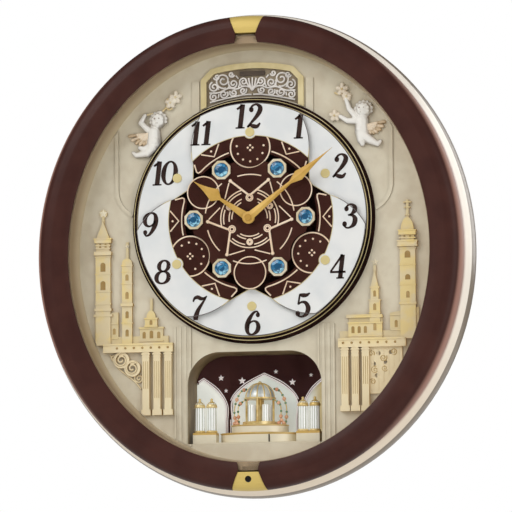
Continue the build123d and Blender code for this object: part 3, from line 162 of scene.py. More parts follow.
def tint(red, green, blue):
    """A colour in eight-bit display values, as the linear value that a shader takes."""
    parts = [value / 255 for value in (red, green, blue)]
    return (*[p / 12.92 if p < 0.04045 else ((p + 0.055) / 1.055) ** 2.4 for p in parts], 1.0)


def coat(name, dark, light, roughness, grain, relief, metal=0.0, shine=0.5, **sockets):
    """A finish that drifts between two shades and has one grain in its gloss and its surface."""
    made = Finish(name, Metallic=metal, Specular_IOR_Level=shine, **sockets)
    made.paint(made.clouds(grain / 20).mix(dark, light), grain, relief, roughness)
    return made


def dress(finish, *names):
    """Gives a finish to pieces that keep their CAD shape."""
    for name in names:
        shades = nodes[name].data.materials
        shades.clear()
        shades.append(finish.material)


rear_plastic = coat("grained_black_styrene", (34, 34, 36), (46, 45, 46), 0.5, 1800, 120)
dress(rear_plastic, "rear_cover", "battery_door")


# Hanger plate and case screws: zinc-plated pressed steel, faintly clouded by the plating bath.
# The plate is riveted into the cover over the keyhole, and the screws pull the case together.
zinc = coat("clouded_zinc_plate", (150, 152, 156), (186, 186, 182), 0.34, 420, 30, metal=1.0)
dress(zinc, "hanger_plate", "case_screws")


# Controls on the back: the setting knob, the demonstration button and the volume knob.
# Each is a small gloss-black moulding pushed onto its shaft through the cover.
control_plastic = coat("polished_black_plastic", (52, 52, 54), (66, 65, 66), 0.28, 900, 20)
dress(control_plastic, "set_knob", "demo_button", "volume_knob")


# Works inside the case: movement, speaker, circuit board, cells, and the gear train of the dial.
# The gears are white acetal on a dark brown carrier plate, and the motors have rolled steel cans.
acetal = coat("white_acetal", (222, 222, 214), (238, 237, 230), 0.42, 700, 20)
carrier = coat("carrier_plate_brown", (38, 20, 17), (47, 26, 22), 0.55, 1200, 50, shine=0.08)
motor_can = coat("rolled_motor_steel", (128, 130, 134), (168, 168, 168), 0.36, 360, 30, metal=1.0)
speaker_can = coat("speaker_basket_steel", (60, 61, 64), (92, 92, 94), 0.4, 500, 30, metal=0.8)
dress(acetal, "sun_gear", "drive_pinion")
dress(carrier, "gear_plate", "movement")
dress(motor_can, "drive_motor", "stage_motor")
dress(speaker_can, "speaker")

board = Finish("solder_mask_green", Roughness=0.35, Coat_Weight=0.3)
tracks = board.node("TexBrick", {"Scale": 160.0, "Mortar Size": 0.03, "Vector": board.spot()}, 1)
board.set(Base_Color=tracks.mix((22, 84, 52), (48, 122, 74)), Normal=board.bump(tracks, 50))
dress(board, "circuit_board")

jacket = Finish("cell_jacket", Roughness=0.32, Metallic=0.4)
copper_end = jacket.axis("X").ramp(0.122, 0.124)
jacket.paint(copper_end.mix((40, 41, 46), (176, 140, 70)), 300, 30)
dress(jacket, "batteries")


# Case ring: a deep swelled moulding in champagne paint under clear lacquer.
# It carries the bezel in front and the rear cover behind. Its rear half is painted taupe as painted shade,
# it is a little darker towards the bottom, and its left and right sides carry a reddish painted reflection
# of the bezel.
case_paint = Finish("champagne_lacquer", Coat_Weight=0.25, Coat_Roughness=0.2, Specular_IOR_Level=0.3)
# Painted reflection of the brown bezel: a reddish band by the seam where the ring faces left or right.
bezel_reflection_band = case_paint.axis("Y").ramp(-0.0775, -0.083)
reflecting_sides = case_paint.looks("X").apply("ABSOLUTE").ramp(0.45, 0.8)
below = case_paint.axis("Z").ramp(-0.02, -0.2)
# Painted shade: the rear half of the ring turns taupe.
shaded_rear_half = case_paint.axis("Y").ramp(-0.0683, -0.0671)
cream = below.mix((250, 240, 226), (233, 216, 193))
flank = shaded_rear_half.mix(cream, (128, 114, 98))
case_paint.paint((bezel_reflection_band * reflecting_sides).mix(flank, (166, 128, 114)), 900, 20, 0.32, 0.12)
dress(case_paint, "case_ring")


# Bezel: two half ovals in deep brown lacquer that clip onto the case ring, with a reddish painted
# reflection where their outer lip faces left or right. Between their ends sit two gold plates, and the
# lower one holds a light sensor.
bezel_paint = Finish("brown_satin_lacquer", Specular_IOR_Level=0.12, Coat_Weight=0.04, Coat_Roughness=0.2)
place, normal = (bezel_paint.node("NewGeometry", {}, part) for part in ("Position", "Normal"))
# Painted reflection: the outer lip turns reddish where it faces left or right.
outward = bezel_paint.measure("DOT_PRODUCT", place, normal).ramp(0.198, 0.24)
side_reflection = bezel_paint.looks("X").apply("ABSOLUTE").ramp(0.5, 0.9)
lacquer = bezel_paint.clouds(30).mix((60, 32, 27), (67, 37, 31))
bezel_paint.paint((outward * side_reflection).mix(lacquer, (160, 120, 106)), 600, 10, 0.42)
dress(bezel_paint, "bezel_left", "bezel_right")
plate_gold = Finish("brushed_gold_plate", Metallic=0.25, Roughness=0.5)
brush = plate_gold.noise(1.0, plate_gold.stretch(plate_gold.spot(), (60.0, 600.0, 2600.0)), 2.0)
plate_gold.set(Base_Color=brush.mix((196, 168, 88), (216, 190, 110)), Normal=plate_gold.bump(brush, 20))
dress(plate_gold, "top_plate", "bottom_plate")
lens = coat("smoked_lens", (10, 8, 8), (20, 16, 15), 0.08, 200, 10, Coat_Weight=1.0)
dress(lens, "light_sensor")


# Reveal ring: the sloping wall between bezel and panel, satin champagne paint on a moulded hoop.
# It drops into the case ring's pocket and holds the panel down round its edge.
reveal_paint = Finish("reveal_satin_paint", Specular_IOR_Level=0.3)
# Painted shade darkens the wall towards the bezel, and a painted highlight lightens the slopes that face up
# and left.
bezel_shade = reveal_paint.axis("Y").ramp(-0.07, -0.092)
normal = reveal_paint.node("NewGeometry", {}, "Normal")
lit_slope = reveal_paint.measure("DOT_PRODUCT", normal, (-0.9, 0.0, 0.45)).ramp(0.1, 0.7)
shaded_slope = bezel_shade.mix((200, 184, 154), (158, 136, 108))
reveal_paint.paint(lit_slope.mix(shaded_slope, (214, 194, 172)), 700, 30, 0.45)
dress(reveal_paint, "reveal_ring")


# Panel: one champagne moulding with two ribs, fluted pilasters and niche frames in low relief.
# It lies on the case ring's ledge, with a round hole for the works and a window for the alcove.
panel_paint = Finish("panel_champagne_paint", Specular_IOR_Level=0.3)
# Painted shade: the walls of the relief are dark olive.
shaded_relief_wall = panel_paint.looks("Y").ramp(-0.97, -0.7)
champagne = panel_paint.clouds(55).mix((204, 193, 170), (213, 204, 182))
panel_paint.paint(shaded_relief_wall.mix(champagne, (140, 124, 92)), 1100, 40, 0.5)
dress(panel_paint, "dial_panel")


# Cartouche over the dial: a pale gold arch round silvered scrollwork on a dark field, its name plate left
# bare.
# Frame and scrolls are thin zinc castings pinned to the panel; the field is a sheet of painted shade behind
# them.
frame_gold = coat("pale_gold_plate", (206, 188, 136), (224, 208, 160), 0.48, 800, 30, metal=0.15)
dress(frame_gold, "cartouche_frame")
scroll_silver = coat("silvered_scroll", (210, 204, 198), (238, 232, 226), 0.4, 900, 30, metal=0.15)
shade_field = coat("painted_shade_field", (122, 108, 88), (150, 136, 114), 0.6, 700, 30, shine=0.2)
umber = coat("umber_plate_lacquer", (66, 52, 38), (78, 62, 46), 0.4, 900, 20)
panel_front = 66.0
dial_rise = 36.0
drum_reach = 131.8


def piece(name, data, finish, body="case", replaced=()):
    """Puts new mesh or curve data in the scene as a piece that rides on a body."""
    made = bpy.data.objects.new(name, data)
    bpy.context.scene.collection.objects.link(made)
    data.name = name
    data.materials.append(finish.material)
    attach(made, body)
    if replaced:
        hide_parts(*replaced)


def at(x, z, depth):
    """Point in metres from millimetres across, up, and out from the wall."""
    return Vector((x, -depth, z)) / 1000


def swing(x, z, reach, angle):
    """Point at a reach from another, clockwise from straight up."""
    turn = math.radians(angle)
    return x + reach * math.sin(turn), z + reach * math.cos(turn)


def front_of(name):
    """Depth of a CAD piece's foremost face, in millimetres out from the wall."""
    return -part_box(name)[0].y * 1000


def mesh(corners, faces, smooth=False):
    """Mesh data from corners and faces."""
    made = bpy.data.meshes.new("blank")
    made.from_pydata(corners, [], faces)
    made.update()
    made.polygons.foreach_set("use_smooth", [smooth] * len(made.polygons))
    return made


def tubes(radius, runs, rings=()):
    """Curve data of round wires through points: open runs, and rings that close."""
    made = bpy.data.curves.new("blank", "CURVE")
    made.dimensions = "3D"
    made.bevel_depth = radius / 1000
    made.bevel_resolution = 2
    made.use_fill_caps = True
    for closed, paths in ((False, runs), (True, rings)):
        for points in paths:
            spline = made.splines.new("POLY")
            spline.points.add(len(points) - 1)
            for knot, place in zip(spline.points, points):
                knot.co = (*place, 1.0)
            spline.use_cyclic_u = closed
    return made


def flow(knots, steps=8):
    """Smooth run through knots of any length, as a list."""
    ends = [knots[0], *knots, knots[-1]]
    run = []
    for knot in zip(ends, ends[1:], ends[2:], ends[3:]):
        for t in [step / steps for step in range(steps)]:
            run.append(tuple(
                0.5 * (2 * q + (r - p) * t + (2 * p - 5 * q + 4 * r - s) * t**2
                       + (3 * q - p - 3 * r + s) * t**3)
                for p, q, r, s in zip(*knot)
            ))
    return [*run, knots[-1]]


def spiral(x, z, radius, start, turns, depth):
    """Scroll that winds inward from a start angle, clockwise when the turns are positive."""
    shares, taper = [step / 32 for step in range(33)], 0.84
    return [at(*swing(x, z, radius * (1 - taper * s), start + 360 * turns * s), depth) for s in shares]


def strokes(knots, depth):
    """Wire through knots on the panel, given as (x, z)."""
    return [at(x, z, depth) for x, z in flow(knots)]


def plates(shapes):
    """Flat pieces on a wall, each as its rim in (x, z), its back depth and its front depth."""
    corners, faces = [], []
    for rim, back, ahead in shapes:
        n, count = len(corners), len(rim)
        corners += [at(*spot, depth) for depth in (ahead, back) for spot in rim]
        faces.append(tuple(range(n, n + count)))
        for a in range(count):
            b = (a + 1) % count
            faces.append((n + a, n + count + a, n + count + b, n + b))
    return mesh(corners, faces)


def slabs(blocks):
    """Upright blocks, each as (left, right, foot, top, back, front)."""
    return plates(
        (((left, foot), (right, foot), (right, top), (left, top)), back, ahead)
        for left, right, foot, top, back, ahead in blocks
    )


# The field: a dark sheet of painted shade behind the scrolls, from the drum up to the arch.
field_half, shoulder, crown, bow = 49.4, 41.5, 198.0, 362.0
shoulder_rise, shoulder_fall = 193.2, 1.07
corners, faces = [], []
for step in range(51):
    x = field_half * (step / 25 - 1)
    top = crown - x * x / bow if abs(x) < shoulder else shoulder_rise - (abs(x) - shoulder) * shoulder_fall
    foot = dial_rise + math.sqrt(drum_reach**2 - x * x)
    corners += [at(x, z, panel_front + 0.3) for z in (foot, top)]
    if step:
        faces.append(tuple(2 * step + k for k in (-2, 0, 1, -1)))
piece("cartouche_shade_field", mesh(corners, faces), shade_field)
wire = panel_front + 1.3
bold, thin = [], []
for side in (-1, 1):
    for x, z, radius, start, turns in (
        (31.5, 186.0, 8.6, 200, -1.7), (41.4, 179.6, 5.6, 20, 1.5), (20.6, 182.4, 5.4, 60, 1.6),
        (9.4, 184.2, 4.8, 160, -1.5), (31.0, 171.6, 4.9, 300, -1.5), (42.0, 168.8, 4.8, 320, 1.5),
        (20.4, 172.6, 4.2, 60, 1.5), (10.0, 174.6, 3.9, 300, -1.4), (38.6, 190.2, 3.4, 100, 1.3),
        (22.6, 192.4, 3.2, 260, -1.3),
    ):
        bold.append(spiral(side * x, z, radius, side * start, side * turns, wire))
    for stem in (
        ((1.5, 177.5), (9, 179.4), (17, 176.6), (26, 177.6), (36, 173.4), (46.5, 173.2)),
        ((1.0, 170.2), (10, 169.9), (22, 168.0), (34, 165.6), (46, 163.0)),
    ):
        bold.append(strokes([(side * x, z) for x, z in stem], wire))
    for x, z, lean in (
        (15, 187.6, 40), (26.4, 177.9, -30), (36.4, 176.6, 20),
        (15.2, 178.2, -20), (25.6, 170.2, 30), (37, 167.6, -10),
    ):
        tip, top = swing(x, z, 4.2, lean)
        leaf = ((x, z), (x + 0.6 * (tip - x), z + 2.0), (tip, top))
        thin.append(strokes([(side * x, z) for x, z in leaf], wire))
for lean in (-50, -25, 0, 25, 50):
    t = math.radians(lean)
    bold.append(strokes(
        [(0, 174.5), (6 * math.sin(t), 180.5), (9.6 * math.sin(t), 182 + 6.4 * math.cos(t))], wire
    ))
piece("scroll_spray", tubes(0.95, bold), scroll_silver, replaced=["cartouche_scrolls"])
piece("scroll_leaves", tubes(0.8, thin), scroll_silver)
piece("bare_name_plate", slabs([(-13.5, 13.5, 190.4, 195.2, panel_front, panel_front + 2.2)]), umber)


# Cherubs: two small resin figures in low relief, white with pearl-gilt wings, glued to the panel.
# Each is cast in one skin with curls on its head, has a painted face, and holds flowers on gilt stems.
bisque = Finish("white_bisque_resin", Roughness=0.5, Specular_IOR_Level=0.35)
# Painted shade: the skin darkens close to the panel and where it turns away from the front.
raised = bisque.axis("Y").ramp(-0.0665, -0.0715)
rounded = bisque.looks("Y").ramp(-0.3, -0.92)
bisque.paint(raised.mix((164, 152, 134), rounded.mix((184, 177, 168), (236, 233, 226))), 900, 50)
gilt = coat("soft_gilt", (212, 190, 140), (236, 220, 180), 0.45, 900, 40, metal=0.1)
blush = coat("blush_petal_resin", (224, 210, 188), (240, 231, 212), 0.5, 900, 40)
face_wash = coat("grey_face_wash", (150, 136, 124), (168, 154, 142), 0.6, 900, 20)
pearl = Finish("pearl_gilt", Roughness=0.42, Metallic=0.08)
# Painted shade: the feathers darken close to the panel, in the gaps between them.
out_of_feather_shade = pearl.axis("Y").ramp(-0.0668, -0.0708)
down = pearl.noise(700)
pearl.set(Base_Color=out_of_feather_shade.mix((176, 146, 100), down.mix((228, 204, 170), (242, 230, 212))),
          Normal=pearl.bump(down, 40))


def dab(shape, radius, x, z, depth):
    """Adds a ball to a shape."""
    spot = Matrix.Translation(at(x, z, depth))
    bmesh.ops.create_icosphere(shape, subdivisions=2, radius=radius / 1000, matrix=spot)


def sculpt(forms, voxel=0.55):
    """One smooth skin over rounded limbs, cut off flat at the panel.

    Each limb is a run of (x, z, rise, radius), and one of these alone makes a ball.
    """
    shape = bmesh.new()
    for form in forms:
        for first, last in zip(form, form[1:] or form):
            steps = max(2, round(math.dist(first[:3], last[:3]) / (min(first[3], last[3]) * 0.35)))
            for step in range(steps + 1):
                x, z, rise, radius = [a + (b - a) * step / steps for a, b in zip(first, last)]
                dab(shape, radius, x, z, panel_front + rise)
    rough = bpy.data.meshes.new("rough")
    shape.to_mesh(rough)
    shape.free()
    blank = bpy.data.objects.new("rough", rough)
    bpy.context.scene.collection.objects.link(blank)
    skin = blank.modifiers.new("skin", "REMESH")
    skin.mode = "VOXEL"
    skin.voxel_size = voxel / 1000
    skin.use_smooth_shade = True
    blank.modifiers.new("soft", "SMOOTH").iterations = 3
    sight = bpy.context.evaluated_depsgraph_get()
    made = bpy.data.meshes.new_from_object(blank.evaluated_get(sight))
    bpy.data.objects.remove(blank)
    bpy.data.meshes.remove(rough)
    shape = bmesh.new()
    shape.from_mesh(made)
    bmesh.ops.bisect_plane(
        shape, geom=[*shape.verts, *shape.edges, *shape.faces],
        plane_co=at(0, 0, panel_front), plane_no=(0, 1, 0), clear_outer=True,
    )
    shape.to_mesh(made)
    shape.free()
    return made


def curls(x, z, reach):
    """Two rows of curls over a head."""
    outer = [[(*swing(x, z, reach, turn), 2.4, 2.0)] for turn in range(-130, 130, 26)]
    return outer + [[(*swing(x, z, 0.62 * reach, turn), 6.0, 1.9)] for turn in range(-117, 130, 38)]


def feathers(x, z, lean, full):
    """Wing from a root: long feathers, the top one longest, with short ones over them."""
    forms = []
    count, fan, overlap, taper, root, droop = 6, 15, 0.9, 0.1, 0.6, 0.4
    for place in range(count):
        lift = overlap * (place % 2)
        angle = lean + math.copysign(fan, lean) * place
        for share, rise, fat in ((1, 1.4, 1.9), (0.58, 3.2, 1.6)):
            tip = swing(x, z, full * share * (1 - taper * place), angle)
            forms.append([(x, z, rise + lift, fat * root), (*tip, rise + lift - droop, fat)])
    return forms


def blossom(x, z, reach):
    """Five petals round an eye."""
    return [
        [(*swing(x, z, 0.5 * reach, turn), 3.4, 1.7), (*swing(x, z, reach, turn), 2.4, 2.5)]
        for turn in range(0, 360, 72)
    ]


def cherub(side, skin, looks, wing, stems, flowers):
    """A figure with its face, wing and flowers.

    The looks are both eyes' places and their height, and the wing is (x, z, lean, length).
    """
    piece(f"cherub_{side}_skin", sculpt(skin), bisque, replaced=[f"cherub_{side}"])
    near, far, brow = looks
    middle, mouth = (near + far) / 2, brow - 4.6
    face = [[(x, brow, 8.1, 0.95)] for x in (near, far)]
    face.append([(middle - 1.1, mouth, 7.6, 0.7), (middle + 1.1, mouth, 7.6, 0.7)])
    piece(f"cherub_{side}_face", sculpt(face, 0.2), face_wash)
    piece(f"cherub_{side}_wing", sculpt(feathers(*wing), 0.4), pearl)
    piece(f"cherub_{side}_stems", tubes(1.0, [strokes(stem, panel_front + 2.4) for stem in stems]), gilt)
    posy = [form for spot, reach in zip(flowers, (4.8, 4.2, 3.2)) for form in blossom(*spot, reach)]
    piece(f"cherub_{side}_flowers", sculpt(posy, 0.4), blush)
    piece(f"cherub_{side}_flower_eyes", sculpt([[(x, z, 5.0, 1.2)] for x, z in flowers], 0.25), gilt)


cherub(
    "left",
    skin=[
        [(-101.6, 146.0, 0.8, 8.4), (-102.4, 144.8, 0.8, 8.2)],  # head
        [(-98.8, 142.8, 4.4, 3.5)], [(-105.8, 142.2, 4.4, 3.3)],  # cheeks
        [(-102.8, 145.0, 8.4, 1.2)], [(-102.4, 139.8, 4.6, 2.8)],  # nose and chin
        [(-107.0, 133.0, 0.6, 7.6), (-107.0, 121.8, 0.4, 8.4)], [(-105.8, 123.6, 3.6, 5.8)],  # trunk
        [(-99.2, 148.0, 2.0, 2.6), (-99.4, 154.0, 3.2, 2.4)],  # far arm
        [(-113.2, 136.0, 2.8, 3.9), (-121.0, 143.6, 2.8, 3.3), (-116.6, 151.6, 2.8, 2.4)],  # near arm
        [(-108.6, 116.8, 2.8, 6.2), (-113.8, 111.0, 3.0, 4.8)],  # near thigh, shin and foot
        [(-113.8, 111.0, 3.0, 4.6), (-126.0, 109.0, 2.4, 3.0), (-129.6, 111.8, 2.2, 2.2)],
        [(-111.0, 117.4, 2.2, 5.2), (-117.0, 115.0, 2.6, 3.9), (-122.4, 117.0, 2.2, 2.5)],  # far leg
        *curls(-102.0, 145.8, 8.6),
    ],
    looks=(-105.0, -100.4, 147.2), wing=(-112.8, 132.4, -96, 21.5),
    stems=[
        ((-116.6, 151.6), (-108.6, 153.2), (-99.4, 154.2), (-90.4, 162.6), (-83.0, 169.4)),
        ((-94, 159), (-90, 157), (-86.5, 158.4)), ((-92, 161), (-93.6, 165.4), (-91.4, 169)),
    ],
    flowers=[(-83.0, 169.8), (-88.6, 164.2)],
)
cherub(
    "right",
    skin=[
        [(119.4, 149.8, 0.8, 8.6), (120.2, 148.6, 0.8, 8.4)],  # head
        [(115.8, 147.0, 4.4, 3.5)], [(122.8, 146.4, 4.2, 3.3)],  # cheeks
        [(117.8, 148.8, 8.6, 1.2)], [(118.4, 143.8, 4.6, 2.8)],  # nose and chin
        [(118.0, 138.0, 0.6, 7.6), (117.8, 126.6, 0.4, 8.4)], [(116.4, 128.6, 3.6, 5.6)],  # trunk
        [(112.4, 141.0, 3.0, 3.8), (104.6, 150.4, 3.2, 3.3), (101.2, 160.8, 3.2, 2.4)],  # raised arm
        [(111.4, 137.6, 3.2, 3.8), (102.6, 137.8, 3.4, 3.4), (95.0, 142.8, 3.2, 2.5)],  # other arm
        [(116.8, 122.6, 2.6, 5.8), (116.6, 117.2, 2.8, 4.5)],  # tucked leg
        [(116.6, 117.2, 2.8, 4.3), (118.2, 113.0, 2.2, 3.2)],
        [(118.8, 122.4, 2.8, 5.6), (127.0, 116.4, 3.0, 4.8)],  # trailing leg and foot
        [(127.0, 116.4, 3.0, 4.7), (134.6, 112.2, 2.4, 3.0), (137.4, 115.2, 2.2, 2.2)],
        *curls(119.8, 149.4, 8.8),
    ],
    looks=(115.8, 120.4, 150.9), wing=(122.6, 133.2, 82, 19.0),
    stems=[
        ((101.2, 160.8), (98.8, 166), (97.0, 171.4)), ((95.0, 142.8), (92, 143.0), (88.5, 143.6)),
        ((99, 165), (103, 166.4), (106, 165.2)), ((97.4, 168.6), (92.4, 167.0), (88.6, 168.6)),
    ],
    flowers=[(97.0, 171.8), (88.6, 143.8), (101.8, 164.0)],
)


# Skylines: pale gold castings of towers, domes and a row of columns, different on each side of the
# alcove. Windows are inlaid in ochre, and cornices, capitals, studs and scrolls stand out from the walls.
skyline_gold = Finish("pale_skyline_gold", Metallic=0.08, Roughness=0.45)
# Painted shade: faces close to the panel are darker and side walls a deeper gold. The lowest part is paler
# towards the bottom.
recess_shade = skyline_gold.axis("Y").ramp(-0.0665, -0.0725)
wall = skyline_gold.looks("Y").ramp(-0.95, -0.55)
arcade = skyline_gold.axis("Z").ramp(-0.085, -0.105)
patches = skyline_gold.noise(60).ramp(0.38, 0.62)
front_faces = recess_shade.mix((210, 194, 154), patches.mix((224, 207, 168), (233, 209, 140)))
front_faces = arcade.mix(front_faces, (236, 220, 182))
skyline_gold.paint(wall.mix(front_faces, arcade.mix((188, 154, 94), (214, 190, 142))), 1400, 40)
dress(skyline_gold, "skyline_left", "skyline_right")
inlay = coat("ochre_inlay", (156, 127, 76), (180, 152, 102), 0.6, 800, 20, shine=0.2)
# The flute wires are darker as painted shade of the grooves between flutes; the fret scrolls share their
# colour.
flute_shade = coat("flute_shade", (190, 164, 112), (206, 182, 132), 0.6, 800, 20, shine=0.2)
pale_star = coat("pale_star_gilt", (226, 214, 184), (240, 230, 204), 0.45, 900, 30)
low, mid, high = (panel_front + rise for rise in (2.6, 4.4, 6.2))


def turned(spots, profile, upright=False):
    """Turnings from a profile of (radius, level): buttons on a wall at (x, z), or upright at (x, depth)."""
    sides = 24 if upright else 20
    corners, faces = [], []
    for spot in spots:
        start = len(corners)
        for radius, level in profile:
            for step in range(sides):
                x, other = swing(*spot, radius, 360 * step / sides)
                corners.append(at(x, level, other) if upright else at(x, other, level))
        end = len(corners)
        for a in range(start, end - sides):
            b = a + 1 if (a + 1 - start) % sides else a + 1 - sides
            face = (a, a + sides, b + sides, b)
            faces.append(face[::-1] if upright else face)
        if not upright:
            faces.append(tuple(range(end - 1, end - sides - 1, -1)))
    return mesh(corners, faces, True)


def arched(windows, sunk=0.4, proud=0.25):
    """Arched window inlays, each as (middle, foot, width, height, depth)."""
    shapes = []
    for x, foot, width, height, depth in windows:
        half = width / 2
        bow = [swing(x, foot + height - half, half, 90 - 22.5 * k) for k in range(9)]
        shapes.append(([(x - half, foot), (x + half, foot), *bow], depth - sunk, depth + proud))
    return plates(shapes)


def stars(spots, waist=0.45, rise=0.9):
    """Five-pointed stars with a raised middle, each as (x, z, reach, depth)."""
    corners, faces = [], []
    for x, z, reach, depth in spots:
        n = len(corners)
        corners.append(at(x, z, depth + rise))
        corners += [at(*swing(x, z, reach * (waist if k % 2 else 1), 36 * k), depth) for k in range(10)]
        faces += [(n, n + 1 + (k + 1) % 10, n + 1 + k) for k in range(10)]
    return mesh(corners, faces)


def bands(x, *rows):
    """Cornices centred on a tower's axis, each as (half width, foot, top, depth)."""
    return [(x - half, x + half, foot, top, panel_front, depth) for half, foot, top, depth in rows]


left_tower, left_spire, left_hall, right_spire, right_tower = -162.7, -136.5, -110.5, 129.7, 165.0
left_blocks = [
    *bands(
        left_tower,
        (10.2, -62.4, -59.8, low + 2.4), (9.4, -56.4, -53.6, mid + 0.9), (8.8, -49.6, -48.2, mid + 0.6),
        (8.8, -36.4, -35.2, mid + 0.5), (8.8, -17.6, -16.4, mid + 0.5), (8.8, 0.6, 1.8, mid + 0.6),
        (8.0, 9.6, 10.8, mid + 0.7), (8.2, 12.8, 14.0, mid + 0.7), (9.8, 19.8, 21.2, high + 0.5),
    ),
    *bands(-159.3, (12.7, -70.6, -69.2, low + 0.8)),
    *bands(-158.3, (11.7, -86.4, -85.0, low + 0.8)),
    *bands(
        left_spire,
        (6.2, -9.4, -7.6, mid + 0.7), (6.0, -28.6, -27.2, mid + 0.6),
        (6.2, -70.4, -69.0, mid + 0.6), (6.0, -16.0, -15.0, mid + 0.5),
    ),
    *bands(
        left_hall,
        (13.6, -76.4, -74.4, low + 1.0), (13.2, -89.8, -88.6, low + 0.8),
        (7.4, -66.4, -64.8, mid + 0.8), (7.2, -74.4, -73.0, mid + 0.7),
    ),
    *bands(-124.6, (38.0, -93.6, -91.8, high + 0.8), (38.0, -101.2, -99.6, high + 0.6)),
]
right_blocks = [
    *bands(
        right_tower,
        (9.2, -57.4, -55.2, mid + 0.8), (8.9, -37.4, -36.4, mid + 0.5), (8.9, -16.4, -15.4, mid + 0.5),
        (9.0, 0.6, 2.0, mid + 0.7), (10.8, 8.4, 9.8, high + 0.5), (10.8, 3.2, 4.4, high + 0.5),
        (8.6, 11.6, 13.0, mid + 0.7), (9.6, 19.4, 20.8, high + 0.5), (9.4, 15.4, 16.4, high + 0.4),
        (3.4, 44.0, 45.2, low + 0.4), (4.4, 49.4, 50.8, low + 0.4), (2.6, 36.0, 37.0, low + 0.6),
    ),
    *bands(160.3, (14.7, -68.6, -67.0, low + 0.9)),
    *bands(159.3, (13.7, -84.6, -83.2, low + 0.8)),
    *bands(
        right_spire,
        (6.4, -53.0, -51.4, mid + 0.6), (5.2, -39.6, -38.0, mid + 0.6), (6.2, -66.0, -64.8, mid + 0.6),
    ),
    *bands(118.9, (19.3, -70.4, -68.8, mid + 0.7)),
    *bands(119.4, (18.6, -76.6, -75.0, mid + 0.8), (18.6, -90.0, -88.8, mid + 0.6)),
    *bands(126.2, (35.4, -93.6, -91.8, high + 0.8), (35.4, -101.2, -99.6, high + 0.6)),
]
left_panes = [
    (left_tower, -14.4, 5.4, 9.6, mid), (left_tower, -34.0, 5.4, 9.6, mid), (-166.6, -81.4, 3.4, 7.2, low),
    (-158.6, -81.4, 3.4, 7.2, low), (-151.0, -81.4, 3.0, 6.4, low), (left_spire, -24.6, 3.4, 6.6, mid),
    *[(left_spire, foot, 3.4, 7.4, mid) for foot in (-44.0, -64.6, -84.0)],
    (-165.6, 11.2, 2.2, 4.4, mid), (-159.8, 11.2, 2.2, 4.4, mid), (-118.4, -86.4, 3.4, 7.0, low),
    (left_hall, -86.4, 3.8, 8.2, low), (-102.6, -86.4, 3.4, 7.0, low), (left_hall, -72.2, 3.0, 5.0, mid),
]
right_panes = [
    (right_tower, -8.6, 6.0, 7.4, mid), (right_tower, -31.6, 5.4, 5.6, mid),
    (right_tower, -50.6, 3.6, 7.0, mid), (152.0, -81.0, 3.2, 7.4, low),
    (right_spire, -48.6, 2.8, 6.4, mid), (right_spire, -62.8, 3.2, 7.0, mid),
    *[(x, -86.4, 3.2, 7.2, mid) for x in (106.4, 113.0, 119.6)],
    *[(x, 11.4, 2.2, 3.6, mid) for x in (162.0, 168.0)], (right_spire, -84.0, 3.2, 7.4, mid),
]
capitals = ((-102.6, 4.8, 0.7), (-105.4, 4.2, 0.5), (-109.0, 4.0, 0.3))
cap_height, stud_pitch, stud_level = 1.3, 9.2, -96.5
flute_top, flute_feet, flute_shifts = -111, (-150, -150, -140), (-2.2, 0.0, 2.2)
stud_profile = [(1.3, high - 0.2), (1.2, high + 0.5), (0.5, high + 0.8)]
for hand, blocks, panes, column, pitch, stud in (
    ("left", left_blocks, left_panes, -92.0, -12.0, -92.0),
    ("right", right_blocks, right_panes, 97.6, 11.0, 96.0),
):
    flutes = []
    for place, foot in enumerate(flute_feet):
        x = column + pitch * place
        blocks += bands(x, *[(half, top - cap_height, top, high + rise) for top, half, rise in capitals])
        flutes += [[at(x + shift, z, high) for z in (flute_top, foot)] for shift in flute_shifts]
    piece(f"skyline_{hand}_cornices", slabs(blocks), skyline_gold)
    piece(f"skyline_{hand}_windows", arched(panes), inlay)
    piece(f"skyline_{hand}_flutes", tubes(0.4, flutes), flute_shade)
    studs = [(stud + math.copysign(stud_pitch, stud) * k, stud_level) for k in range(7)]
    piece(f"skyline_{hand}_studs", turned(studs, stud_profile), inlay)
on_wall, on_panel = mid + 0.4, panel_front + 1
volutes = [
    spiral(-143, -109, 7.4, 0, -1.8, on_wall), spiral(-131, -118, 7.4, 40, -1.8, on_wall),
    spiral(-124.5, -128.6, 5.0, 300, -1.6, on_panel), spiral(-151.6, -106.0, 3.6, 120, 1.4, on_panel),
    strokes(((-156, -103), (-148, -116), (-139, -124), (-130, -131), (-122, -140)), on_panel),
]
piece("left_volutes", tubes(0.9, volutes), skyline_gold)
shafts = zip((121.6, 127.0, 132.4, 137.8, 143.2, 148.6, 154.0), (-146, -146, -146, -138, -131, -124, -117))
shafts = [(x - 0.7, x + 0.7, foot, -103, low - 0.4, low + 0.45) for x, foot in shafts]
piece("right_shafts", slabs(shafts), skyline_gold)
fret = [spiral(*curl, low) for curl in (
    (138, -112.6, 4.0, 60, 1.6), (149, -106.4, 3.6, 200, -1.5), (129, -125.2, 4.0, 20, -1.6),
    (139.4, -123.6, 3.4, 120, 1.4), (126.6, -137.4, 3.2, 300, 1.4), (125.4, -108.0, 3.4, 120, -1.4),
)]
piece("right_fretwork", tubes(0.6, fret), flute_shade)
flush = panel_front + 0.4
finials = [(left_tower, 47.8, 5.0, low), (left_spire, 12.0, 2.8, low), (right_spire, -12.0, 4.4, flush)]
piece("skyline_stars", stars(finials), pale_star)


